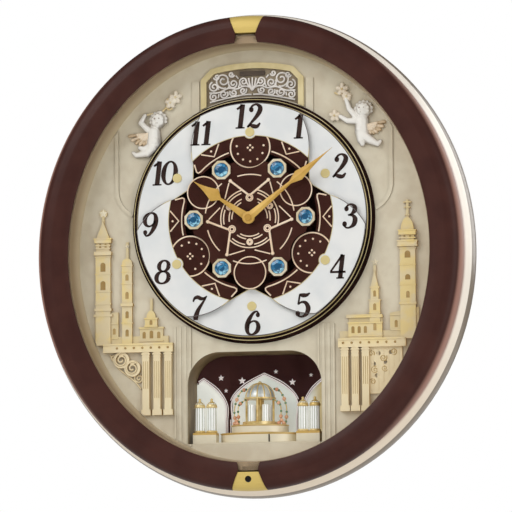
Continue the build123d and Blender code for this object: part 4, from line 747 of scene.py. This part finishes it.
# Dial base: a shallow dark drum with a black rim and gold beads, screwed to the panel over the gears.
# Its dark wall shows beside the dial on the right and below.
drum_black = coat("drum_black_satin", (24, 13, 11), (34, 19, 16), 0.55, 700, 30, shine=0.06)
dress(drum_black, "dial_rim")
drum_brown = coat("drum_brown_satin", (40, 21, 17), (48, 27, 22), 0.55, 700, 30, shine=0.06)
dress(drum_brown, "dial_base")
rim_gold = coat("rolled_rim_gold", (206, 186, 132), (228, 212, 164), 0.4, 600, 10, metal=0.35)
rim_front = front_of("dial_rim")


def dial(radius, angle):
    """Place at a radius from the dial's axis, clockwise from twelve."""
    return swing(0, dial_rise, radius, angle)


def ring(middle, radius, depth, sides):
    """Circle round a place on the dial."""
    return [at(*swing(*middle, radius, 360 * step / sides), depth) for step in range(sides)]


for name, reach, sunk, thick in (("inner", 123.8, 0.1, 0.75), ("outer", 127.6, 0.4, 0.55)):
    bead = ring(dial(0, 0), reach, rim_front - sunk, 180)
    piece(f"rim_{name}_bead", tubes(thick, [], [bead]), rim_gold)


# Petals: six white leaves that turn on their spindles, three in front with dark backs and three behind.
# Each is a die-cut styrene sheet with printed numbers, and the dark backs carry hot-stamped gold lines.
petal_angles = {"12": 0, "02": 60, "04": 120, "06": 180, "08": 240, "10": 300}
petal_white = coat("dial_white_sheet", (218, 220, 220), (228, 228, 226), 0.5, 500, 10, shine=0.2)
petal_brown = coat("dial_brown_sheet", (58, 30, 24), (66, 37, 30), 0.55, 600, 20, shine=0.06)
dress(petal_white, *[f"petal_{clock}_face" for clock in petal_angles])
dress(petal_brown, "petal_12_back", "petal_04_back", "petal_08_back")
print_ink = coat("number_ink", (44, 28, 24), (54, 36, 31), 0.55, 2000, 20, shine=0.15)
stamp_gold = coat("hot_stamped_gold", (240, 212, 180), (250, 228, 202), 0.42, 900, 10, metal=0.05)
gold_edge_and_shadow = Finish("gold_edge_to_painted_shadow", Roughness=0.45)
# Edge lines are gold towards the middle and grey further out; the grey is painted shadow in the gaps at the
# petals' edges.
flat_spot = gold_edge_and_shadow.stretch(gold_edge_and_shadow.spot(), (1.0, 0.0, 1.0))
off_axis = gold_edge_and_shadow.measure("DISTANCE", flat_spot, (0.0, 0.0, dial_rise / 1000))
gold_edge_and_shadow.paint(off_axis.ramp(0.094, 0.099).mix((206, 188, 140), (112, 106, 104)), 900, 10)


def ribbon(stroke, back, ahead, corners, faces):
    """Adds a flat stroke of changing width, given as (x, z, width), between two depths."""
    start = len(corners)
    last = len(stroke) - 1
    for place, (x, z, width) in enumerate(stroke):
        before = stroke[max(place - 1, 0)]
        after = stroke[min(place + 1, last)]
        along = Vector((after[0] - before[0], after[1] - before[1])).normalized()
        side = Vector((-along.y, along.x)) * width / 2
        for depth in (back, ahead):
            corners.append(at(x + side.x, z + side.y, depth))
            corners.append(at(x - side.x, z - side.y, depth))
    for a in range(start, start + 4 * last, 4):
        b = a + 4
        faces += [(a + 3, b + 3, b + 2, a + 2), (a + 2, b + 2, b, a), (a + 1, b + 1, b + 3, a + 3)]
    end = start + 4 * last
    faces += [(start + 1, start + 3, start + 2, start), (end, end + 2, end + 3, end + 1)]


def loop(x, z, across, up, thick, thin):
    """Closed oval stroke, heavy at its sides and fine above and below."""
    return [
        (x + across * math.cos(t), z + up * math.sin(t), thin + (thick - thin) * math.cos(t) ** 2)
        for t in [math.tau * step / 32 for step in range(33)]
    ]


def ball(x, z, radius):
    """Round end of a stroke."""
    turns = [math.pi * step / 10 for step in range(11)]
    return [(x - radius * math.cos(t), z, 2 * radius * math.sin(t)) for t in turns]


# Digits in strokes of (x, z, width), in hundredths of their height.
six = [
    flow([(48, 85, 5), (40, 97, 5), (26, 90, 8), (13, 62, 14), (9, 34, 15), (15, 10, 10), (30, 2, 5),
          (46, 12, 11), (52, 30, 14), (46, 50, 10), (32, 58, 5), (18, 50, 5), (11, 36, 5)]),
    ball(45, 83, 7.5),
]
digits = {
    "0": [loop(30, 50, 23, 47.5, 15, 5)],
    "1": [
        [(30, 0, 15), (30, 100, 15)],
        flow([(30, 99, 3), (20, 88, 7), (10, 80, 5)]),
        [(13, 1.8, 3.6), (47, 1.8, 3.6)],
    ],
    "2": [
        ball(15, 77, 8.5),
        flow([(11, 79, 5), (18, 93, 6), (32, 98, 6), (46, 88, 13), (48, 72, 15), (38, 48, 12),
              (20, 22, 7), (8, 4, 5)]),
        flow([(7, 4, 5), (17, 12, 8), (30, 7, 13), (44, 6, 11), (54, 20, 4)]),
    ],
    "3": [
        ball(15, 80, 8),
        flow([(11, 83, 5), (20, 95, 5.5), (32, 98, 6), (45, 87, 13), (45, 70, 14), (34, 57, 6),
              (23, 54, 4)]),
        flow([(23, 54, 4), (40, 52, 8), (51, 38, 15), (49, 16, 14), (36, 3, 6), (22, 2, 5), (10, 13, 5)]),
        ball(14, 17, 8.5),
    ],
    "4": [
        [(42, 99, 6), (22, 62, 5.5), (4, 29, 5)],
        [(2, 27, 6), (60, 27, 6)],
        [(42, 0, 14), (42, 98, 14)],
        [(28, 1.8, 3.6), (56, 1.8, 3.6)],
    ],
    "5": [
        [(14, 94, 5), (12, 52, 5)],
        flow([(12, 94, 5), (26, 90, 13), (40, 91, 10), (51, 99, 3)]),
        flow([(12, 53, 4), (24, 62, 6), (40, 58, 11), (51, 36, 15), (46, 12, 12), (30, 2, 6), (15, 6, 5)]),
        ball(14, 15, 8.5),
    ],
    "6": six,
    "7": [
        flow([(5, 76, 3), (9, 90, 8), (20, 95, 12), (34, 89, 11), (45, 90, 7), (55, 99, 3)]),
        flow([(54, 98, 3), (42, 72, 7), (28, 42, 12), (22, 15, 16), (23, 0, 14)]),
    ],
    "8": [loop(30, 74.5, 18, 22.5, 13, 5), loop(30, 27, 23, 25, 14, 5)],
    "9": [[(60 - x, 100 - z, width) for x, z, width in stroke] for stroke in six],
}
number_scale, number_spread, number_slant = 0.254, 1.12, 0.12
number_weight, ink_creep, digit_width, half_height = 1.25, 1.2, 60, 50
advances = {"11": 42, "12": 50, "10": 43}
numbers = {
    "12": (("12", 109, -1), ("1", 110, 29.1), ("11", 106.2, -29.3)),
    "02": (("2", 109.5, 60.8),),
    "04": (("3", 106.2, 90.2), ("4", 107.4, 119.6), ("5", 108, 149)),
    "06": (("6", 109.7, 179.4),),
    "08": (("7", 108.4, 211), ("8", 108.6, 240.4), ("9", 108.5, 268.5)),
    "10": (("10", 107.6, 298.9),),
}
for clock, group in numbers.items():
    front = front_of(f"petal_{clock}_face")
    corners, faces = [], []
    for text, radius, angle in group:
        middle, level = dial(radius, angle)
        advance = advances.get(text, digit_width)
        width = digit_width + advance * (len(text) - 1)
        for place, digit in enumerate(text):
            shift = place * advance - width / 2
            for stroke in digits[digit]:
                run = []
                for x, z, weight in stroke:
                    across = (x + shift) * number_spread + (z - half_height) * number_slant
                    run.append((middle + across * number_scale, level + (z - half_height) * number_scale,
                                (weight * number_weight + ink_creep) * number_scale))
                ribbon(run, front - 0.1, front + 0.3, corners, faces)
    piece(f"numbers_{clock}", mesh(corners, faces), print_ink, f"petal_{clock}")


def outlines(name, depth):
    """Closed edge lines of a CAD piece's face at a depth, as lists of points."""
    shape = bmesh.new()
    shape.from_mesh(nodes[name].data)
    bmesh.ops.remove_doubles(shape, verts=shape.verts, dist=1e-6)
    flat = {
        face for face in shape.faces
        if face.normal.y < -0.95 and all(abs(-v.co.y * 1000 - depth) < 0.05 for v in face.verts)
    }
    steps = {}
    for edge in shape.edges:
        if sum(face in flat for face in edge.link_faces) == 1:
            for first, second in (edge.verts, reversed(edge.verts)):
                steps.setdefault(first.index, []).append(second.index)
    shape.verts.ensure_lookup_table()
    loops = []
    while steps:
        trail = [next(iter(steps))]
        while steps.get(trail[-1]):
            onward = steps[trail[-1]].pop()
            steps[onward].remove(trail[-1])
            trail.append(onward)
        loops.append([shape.verts[index].co.copy() for index in trail[:-1]])
        steps = {index: ways for index, ways in steps.items() if ways}
    shape.free()
    return loops


for clock in petal_angles:
    face = f"petal_{clock}_face"
    edges = [points for points in outlines(face, front_of(face)) if len(points) > 2]
    piece(f"edge_line_{clock}", tubes(0.4, [], edges), gold_edge_and_shadow, f"petal_{clock}")

leaf_front = front_of("petal_12_back")
boss_reach, boss_ring, dot_ring, eye_ring = 75.5, 21.2, 14.6, 2.6
lobe_turn, chevron_dot = 30, 84.2
dot_profile = [(1.15, leaf_front - 0.1), (1.15, leaf_front + 0.2), (0.6, leaf_front + 0.45)]
border = [(74.3, a) for a in range(18, 47, 2)] + [(75.3, 48.2), (77.5, 48.4), (84.5, 45.5)]
chevron = [(87.5, -7.2), (77.5, 0), (87.5, 7.2)]
leaf_dots = {}
for clock in ("12", "04", "08"):
    turn = petal_angles[clock]
    boss = dial(boss_reach, turn)
    dots = [swing(*boss, dot_ring, turn + angle) for angle in (82, 115, 148, 180, 212, 245, 278)]
    dots += [swing(*boss, eye_ring, angle) for angle in (0, 90, 180, 270)]
    lines = []
    for side in (-1, 1):
        lobe = turn + side * lobe_turn
        lines.append([at(*dial(radius, turn + side * angle), leaf_front) for radius, angle in border])
        lines.append([at(*dial(radius, lobe + angle), leaf_front) for radius, angle in chevron])
        dots.append(dial(chevron_dot, lobe))
    stamped = tubes(0.8, lines, [ring(boss, boss_ring, leaf_front, 64)])
    piece(f"leaf_lines_{clock}", stamped, stamp_gold, f"petal_{clock}")
    leaf_dots[clock] = dots
for clock, dots in leaf_dots.items():
    piece(f"leaf_dots_{clock}", turned(dots, dot_profile), stamp_gold, f"petal_{clock}")


# Spindles: each petal turns on a brass-coloured pin with a domed cap in front and a pinion behind.
# The caps are polished, and the moulded pinions mesh with the sun gear out of sight.
spindle_finish = Finish("gold_cap_and_white_pinion", Roughness=0.3)
cap = spindle_finish.axis("Y").ramp(-0.066, -0.068)
spindle_finish.paint(cap.mix((230, 229, 222), (226, 208, 148)), 900, 20)
spindle_finish.set(Metallic=cap * 0.25)
dress(spindle_finish, *[f"petal_{clock}_spindle" for clock in petal_angles])


# Rosette: the fixed dark disc in the middle of the dial, with lobes between the petals.
# It is hot-stamped with a lattice of fine gold lines that joins the six jewels.
dress(petal_brown, "rosette")
rosette_front = front_of("rosette")
stud_reach, stud_turn, lobe_reach, lobe_ring = 45, 27, 57.5, 16.9


def line(*marks):
    """Line through places on the rosette, each as (radius, angle)."""
    return [at(*dial(*mark), rosette_front) for mark in marks]


fine_lines, rings, rods, studs = [], [], [], []
for point in (0, 120, 240):
    gap = point + 60
    for side in (-1, 1):
        rods.append(line((stud_reach, point + side * stud_turn), (25.5, point + side * 4)))
        studs.append(dial(stud_reach, point + side * stud_turn))
        fine_lines.append(line((44, gap + side * 30), (34, gap + side * 9)))
        for radius, first, last in ((19, 0, 32), (22, 10, 38), (28, 10, 42), (31, 0, 44)):
            fine_lines.append(line(*[(radius, gap + side * a) for a in range(first, last + 1, 2)]))
    fine_lines.append(line(*[(46.5, point + a) for a in range(-16, 17, 2)]))
    fine_lines.append(line(*[(48, gap + a) for a in range(-22, 23, 2)]))
    rings += [ring(dial(22, point), radius, rosette_front, 24) for radius in (2.0, 3.6)]
    rings += [ring(dial(25, gap), radius, rosette_front, 20) for radius in (1.6, 3.0)]
    rings.append(ring(dial(lobe_reach, gap), lobe_ring, rosette_front, 48))
piece("rosette_lattice", tubes(0.68, fine_lines, rings), stamp_gold)
piece("rosette_rods", tubes(1.15, rods), stamp_gold)
dome = ((1.9, -0.1), (1.9, 0.5), (1.2, 1.1), (0.4, 1.3))
dome = [(radius, rosette_front + rise) for radius, rise in dome]
piece("rosette_studs", turned(studs, dome), stamp_gold)


# Jewels: six octagonal blue glass stones, each pressed into a cream-gold setting on the rosette.
# They are cut with a table, eight stars and a ring of crown facets over a foiled back.
setting_gold = coat("setting_cream_gold", (232, 214, 176), (246, 234, 206), 0.3, 900, 20, metal=0.35)
dress(setting_gold, "jewel_settings")
stone = Finish("foiled_blue_glass", Roughness=0.12, Coat_Weight=0.6, Coat_Roughness=0.03)
facet = stone.node("NewGeometry", {}, "True Normal")
chance = stone.node("TexWhiteNoise", {"Vector": stone.stretch(facet, (23.0, 31.0, 17.0))})
# Painted glints: facets turned towards one set direction are pale cyan.
glint_facing = stone.measure("DOT_PRODUCT", facet, (0.35, -0.2, -0.9))
deep = chance.ramp(0.1, 0.9).mix((24, 70, 104), (62, 138, 182))
painted_glint = (glint_facing + chance * 0.35).ramp(0.42, 0.9)
stone.paint(painted_glint.mix(deep, (160, 220, 240)), 500, 5)
jewel_back = -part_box("jewels")[1].y * 1000
jewel_front = front_of("jewels")
jewel_reach = 60
tiers = (
    (8, 3.6, 0.5, jewel_front), (8, 5.5, 0, jewel_front - 0.55),
    (16, 7.3, 0, jewel_front - 1.3), (16, 7.3, 0, jewel_back),
)
corners, faces = [], []
for lean in range(30, 360, 60):
    start, middle = len(corners), at(*dial(jewel_reach, lean), jewel_front) * 1000
    for count, radius, shift, depth in tiers:
        for step in range(count):
            turn = math.tau * (step + shift) / count + math.radians(lean)
            across, rise = radius * math.sin(turn), radius * math.cos(turn)
            corners.append(at(middle.x + across, middle.z + rise, depth))
    faces.append(tuple(range(start + 7, start - 1, -1)))
    for step in range(8):
        onward = (step + 1) % 8
        table, point, girdle = start + step, start + 8 + step, start + 16 + 2 * step
        next_table, next_point, next_girdle = start + onward, start + 8 + onward, start + 16 + 2 * onward
        half = girdle + 1
        faces += [
            (next_table, next_point, table), (next_point, half, point, table),
            (half, girdle, point), (next_girdle, half, next_point),
            (half, half + 16, girdle + 16, girdle), (next_girdle, next_girdle + 16, half + 16, half),
        ]
piece("cut_stones", mesh(corners, faces), stone, replaced=["jewels"])


# Hands: two gilt leaf hands pressed from brass, creased along the middle, on the clock's arbors.
# The minute hand lies in front, and a turned nut holds it on.
hand_gold = coat("deep_gilt_brass", (182, 138, 54), (202, 160, 74), 0.42, 700, 20, metal=0.15)
dress(hand_gold, "hour_hand", "minute_hand")
hand_bright = coat("creased_gilt_brass", (192, 148, 60), (216, 176, 90), 0.42, 700, 10, metal=0.15)
arbor = Vector((0, 0, dial_rise / 1000))
full_crease_width = 3.5
for hand, depth, crease in (("hour_hand", 90.9, 0.7), ("minute_hand", 93.4, 0.9)):
    edge = max(outlines(hand, depth), key=len)
    if sum(a.x * b.z - b.x * a.z for a, b in zip(edge, edge[1:] + edge[:1])) < 0:
        edge.reverse()
    arms = [Vector((spot.x, 0, spot.z)) - arbor for spot in edge]
    along = max(arms, key=lambda arm: arm.length).normalized()
    corners, faces = [], []
    for k, (spot, arm) in enumerate(zip(edge, arms)):
        spine = along * arm.dot(along)
        rise = crease * min(1.0, (arm - spine).length * 1000 / full_crease_width)
        corners += [spot, arbor + spine + at(0, 0, depth + rise)]
        n = (k + 1) % len(edge)
        faces.append((2 * k, 2 * n, 2 * n + 1, 2 * k + 1))
    piece(f"{hand}_crease", mesh(corners, faces), hand_bright, hand)


# Alcove: a moulded box behind the window with a folded screen of three arches over mirror sheet.
# On its gold stage stand a turning pavilion with crystals and two pairs of glass bells.
shell_paint = coat("alcove_olive_paint", (122, 104, 76), (146, 127, 96), 0.55, 800, 30, shine=0.25)
dress(shell_paint, "alcove_shell")
screen_brown = coat("screen_brown_print", (66, 38, 37), (74, 44, 42), 0.55, 600, 20, shine=0.06)
dress(screen_brown, "arcade_screen")
# Painted light: the mirror sheet glows faintly, and its right end is painted gold as a painted reflection
# of the gilt beside it.
mirror = Finish("silvered_sheet_with_glow", Roughness=0.3, Metallic=0.1, Emission_Strength=0.36)
gold_reflection = mirror.axis("X").ramp(0.046, 0.064)
silver = gold_reflection.mix(mirror.clouds(8).mix((212, 218, 212), (240, 242, 234)), (188, 170, 122))
mirror.paint(silver, 160, 40)
mirror.set(Emission_Color=silver)
dress(mirror, "mirror_sheet")
stage_gold = Finish("stage_cream_and_gold", Metallic=0.15, Roughness=0.36)
height = stage_gold.axis("Z")
lower_lip = height.ramp(-0.1895, -0.189) - height.ramp(-0.1872, -0.1866)
upper_lip = height.ramp(-0.1806, -0.18)
stage_gold.paint((lower_lip + upper_lip).mix((236, 226, 200), (214, 176, 96)), 700, 20)
dress(stage_gold, "stage")
pavilion_gold = coat("pavilion_gilt", (214, 180, 104), (240, 218, 160), 0.34, 400, 20, metal=0.35)
gilt_dome = Finish("gilt_with_silvered_dome", Roughness=0.3, Metallic=0.3)
height = gilt_dome.axis("Z")
vault = height.ramp(-0.1498, -0.1494) - height.ramp(-0.1366, -0.1362)
gleam = gilt_dome.clouds(90)
gilding = gleam.mix((206, 170, 92), (240, 218, 160))
gilt_dome.paint(vault.mix(gilding, gleam.mix((178, 184, 184), (232, 234, 228))), 400, 20)
dress(gilt_dome, "turntable")
# Painted light: the crystal glows faintly, and pale and grey stripes across it are painted glints of its
# cut facets.
crystal = Finish("cut_crystal", Roughness=0.12, Coat_Weight=0.6, Emission_Strength=0.15)
facet_stripes = (crystal.axis("X") * 2600.0).apply("SINE").ramp(-0.6, 0.7)
facet_glints = facet_stripes.mix((184, 188, 178), (250, 252, 250))
crystal.paint(facet_glints, 240, 80)
crystal.set(Emission_Color=facet_glints)
dress(crystal, "side_bells", "crystals")
# Painted light: the white screen lines glow faintly.
line_white = coat("screen_white_line", (244, 236, 236), (252, 246, 244), 0.5, 900, 10,
                  Emission_Color=tint(230, 220, 220), Emission_Strength=0.25)
salmon = coat("salmon_petals", (214, 150, 112), (236, 186, 150), 0.5, 900, 30)
leaf_green = coat("leaf_green", (84, 122, 88), (124, 158, 118), 0.5, 900, 30)

window_foot = -199.0
screen_front, leaf_middle, leaf_depth, leaf_thick = 15.6, 63.0, 20.78, 2.5
leaf_lean = math.atan2(11.0, 35.8)
stage_middle = 38.5


def arch(half, drop, grow):
    """Outline of a pointed arch from one foot over the tip to the other, above the window's foot."""
    reach = half + grow
    spring, haunch, apex = 53.0 - drop, 67.0 - drop + grow, 79.0 - drop + grow
    rise = flow([(reach, 2.0), (reach, 26.0), (reach, spring), (reach * 0.62, haunch), (0.0, apex)], 10)
    return rise + [(-x, z) for x, z in reversed(rise[:-1])]


def on_screen(side, x, z):
    """Point just in front of the screen's middle or of one folded leaf."""
    if side == 0:
        return at(x, window_foot + z, screen_front)
    along, across = math.cos(leaf_lean), side * math.sin(leaf_lean)
    return at(side * leaf_middle + x * along - leaf_thick * across, window_foot + z,
              leaf_depth + x * across + leaf_thick * along)


inner_lines, outer_lines = [], []
corners, faces = [], []
for side, cut_half, cut_drop, half, drop, shift, near, far in (
    (0, 35.0, 0.0, 34.4, 4.2, 0.0, -37.0, 37.0),
    (-1, 23.0, 5.0, 23.0, 8.9, -2.0, -8.5, 24.8),
    (1, 23.0, 5.0, 23.0, 9.6, 4.7, -24.8, 8.5),
):
    for lines, grow in ((inner_lines, 0.5), (outer_lines, 2.4)):
        runs = [[]]
        for x, z in arch(half, drop, grow):
            if near < x + shift < far:
                runs[-1].append(on_screen(side, x + shift, z))
            else:
                runs.append([])
        lines += [run for run in runs if len(run) > 1]
    inner_edge = [(x + shift, z) for x, z in arch(half, drop, 0.0)]
    for place, rim in enumerate(zip(arch(cut_half, cut_drop, 1.2), inner_edge)):
        corners += [on_screen(side, min(max(x, near), far), z) for x, z in rim]
        if place:
            n = len(corners)
            faces.append((n - 2, n - 1, n - 3, n - 4))
piece("arch_liners", mesh(corners, faces), screen_brown)
piece("arch_inner_lines", tubes(0.8, inner_lines), line_white)
piece("arch_outer_lines", tubes(0.5, outer_lines), line_white)
screen_stars = [
    (-46.4, -126.3, 3.6, 18.8), (-24.0, -129.6, 4.2, 15.9), (12.7, -120.5, 2.6, 15.9),
    (30.5, -132.1, 3.9, 15.9), (-41.4, -140.0, 2.5, 17.0), (51.6, -125.3, 2.3, 20.4),
]
piece("screen_stars", stars(screen_stars), line_white)

dome_radius, dome_foot = 15.4, -149.8
ribs = []
for turn in range(0, 360, 30):
    rib = []
    for climb in range(0, 81, 10):
        reach, z = swing(0, dome_foot, dome_radius, 90 - climb)
        x, depth = swing(0, stage_middle, reach, turn)
        rib.append(at(x, z, depth))
    ribs.append(rib)
piece("dome_ribs", tubes(0.7, ribs), pavilion_gold, "turntable")
bell_middle, bell_shift, bell_depth = 55.5, 6.4, 53.0
bell_spots = [(a * bell_middle + b * bell_shift, bell_depth) for a in (-1, 1) for b in (-1, 1)]
foot_rings = [(5.2, -187.0), (6.1, -186.8), (6.1, -185.4), (5.6, -184.8), (5.3, -184.4)]
piece("bell_foot_rings", turned(bell_spots, foot_rings, True), pavilion_gold)
caps = [
    (5.2, -160.6), (5.9, -160.2), (5.9, -158.8), (5.2, -157.0), (3.6, -155.0), (1.6, -153.8),
    (1.2, -152.2), (1.6, -151.2), (0.1, -150.2),
]
piece("bell_caps", turned(bell_spots, caps, True), pavilion_gold)
front_half = [math.radians(angle) for angle in range(-88, 89, 4)]
beading = [
    [at(half_width * math.sin(t), z, stage_middle + half_depth * math.cos(t)) for t in front_half]
    for half_width, z, half_depth in ((42.4, -187.8, 21.9), (30.9, -179.4, 19.9))
]
piece("stage_beading", tubes(0.6, beading), pavilion_gold)
# The stage's slit is a black block, painted shade for its dark opening.
piece("stage_slit", slabs([(13.2, 14.4, -198.0, -189.6, 56.0, 59.4)]), drum_black)
hoop_depth = 36.0
hoops, buds, leaves = [], [], []
for side in (-1, 1):
    for shift, top in ((0.0, -140.0), (5.0, -149.0)):
        knots = ((27, -178.6), (28, -160), (22, top - 4), (14, top))
        run = flow([(side * (x - shift), z, hoop_depth + shift) for x, z in knots])
        hoops.append([at(*spot) for spot in run])
        leaves += run[2::4]
        buds += run[4::8]
    for x, z, depth in ((26.5, -177.0, 44.0), (24.4, -174.2, 45.0), (22.6, -177.4, 50.0)):
        buds.append((side * x, z, depth))
piece("garland_hoops", tubes(0.6, hoops), pavilion_gold)


def knobs(spots, radius):
    """Small round buds, each at (x, z, depth)."""
    shape = bmesh.new()
    for spot in spots:
        dab(shape, radius, *spot)
    made = bpy.data.meshes.new("blank")
    shape.to_mesh(made)
    shape.free()
    return made


piece("garland_flowers", knobs(buds, 2.1), salmon)
piece("garland_leaves", knobs(leaves, 1.3), leaf_green)


# Front glass: one clear pane under the bezel, held in the reveal by the case ring.
# It is nearly invisible apart from its gloss.
pane = coat("clear_pane", (240, 244, 242), (246, 248, 246), 0.05, 60, 5, shine=0.25)
pane.set(Alpha=pane.node("Fresnel", {"IOR": 1.45}).ramp(0.07, 0.7) * 0.3)
dress(pane, "front_glass")


# Studio: a pale floor below the hanging clock, soft light from the upper left, and the photo's view.
# The camera looks from slightly right of the middle and slightly below it.
floor_gap, floor_half = 0.21, 3.0
floor_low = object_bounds()[0].z - floor_gap
square = ((-1, -1), (1, -1), (1, 1), (-1, 1))
ground = mesh([(x * floor_half, y * floor_half, floor_low) for x, y in square], [(0, 1, 2, 3)])
floor = bpy.data.objects.new("floor", ground)
bpy.context.scene.collection.objects.link(floor)
ground.materials.append(coat("pale_floor", (236, 236, 234), (242, 242, 240), 0.7, 12, 200).material)

scene = bpy.context.scene
scene.view_settings.view_transform = "Standard"
scene.world = bpy.data.worlds.new("white_room")
room = Finish("white_room", scene.world, Color=(1.0, 1.0, 1.0, 1.0))
seen = room.node("LightPath", {}, "Is Camera Ray")
glossy = room.node("LightPath", {}, "Is Glossy Ray")
room_light, gloss_dip = 0.52, 0.4
room.set(Strength=seen + (1.0 - seen) * (room_light - glossy * gloss_dip))
lit_point = Vector((0, -0.06, 0))


def soft_box(name, spot, size, power):
    """Square softbox that looks at the middle of the clock."""
    light = bpy.data.lights.new(name, "AREA")
    light.size = size
    light.energy = power
    made = bpy.data.objects.new(name, light)
    made.location = spot
    made.rotation_euler = (lit_point - Vector(spot)).to_track_quat("-Z", "Y").to_euler()
    scene.collection.objects.link(made)


soft_box("key_light", (-1.5, -2.2, 1.7), 2.0, 49)
soft_box("fill_light", (1.9, -2.0, 0.3), 1.6, 20)
soft_box("rim_light", (1.7, 1.9, 0.9), 1.6, 22)

turn, rise, roll = (math.radians(angle) for angle in (11.978, -6.298, -0.364))
back = Vector((math.sin(turn) * math.cos(rise), -math.cos(turn) * math.cos(rise), math.sin(rise)))
right = Vector((math.cos(turn), math.sin(turn), 0))
up = back.cross(right)
right, up = right * math.cos(roll) + up * math.sin(roll), up * math.cos(roll) - right * math.sin(roll)
camera_data = bpy.data.cameras.new("photo_view")
camera_data.lens = 268.515
camera_data.sensor_width = 36.0
camera_data.shift_x = 0.01491
camera_data.shift_y = -0.00863
camera = bpy.data.objects.new("photo_view", camera_data)
view = Matrix((right, up, back)).transposed().to_4x4()
aim_point, view_distance = Vector((0, -0.093, 0)), 4.0
view.translation = aim_point + back * view_distance
camera.matrix_world = view
scene.collection.objects.link(camera)
scene.camera = camera
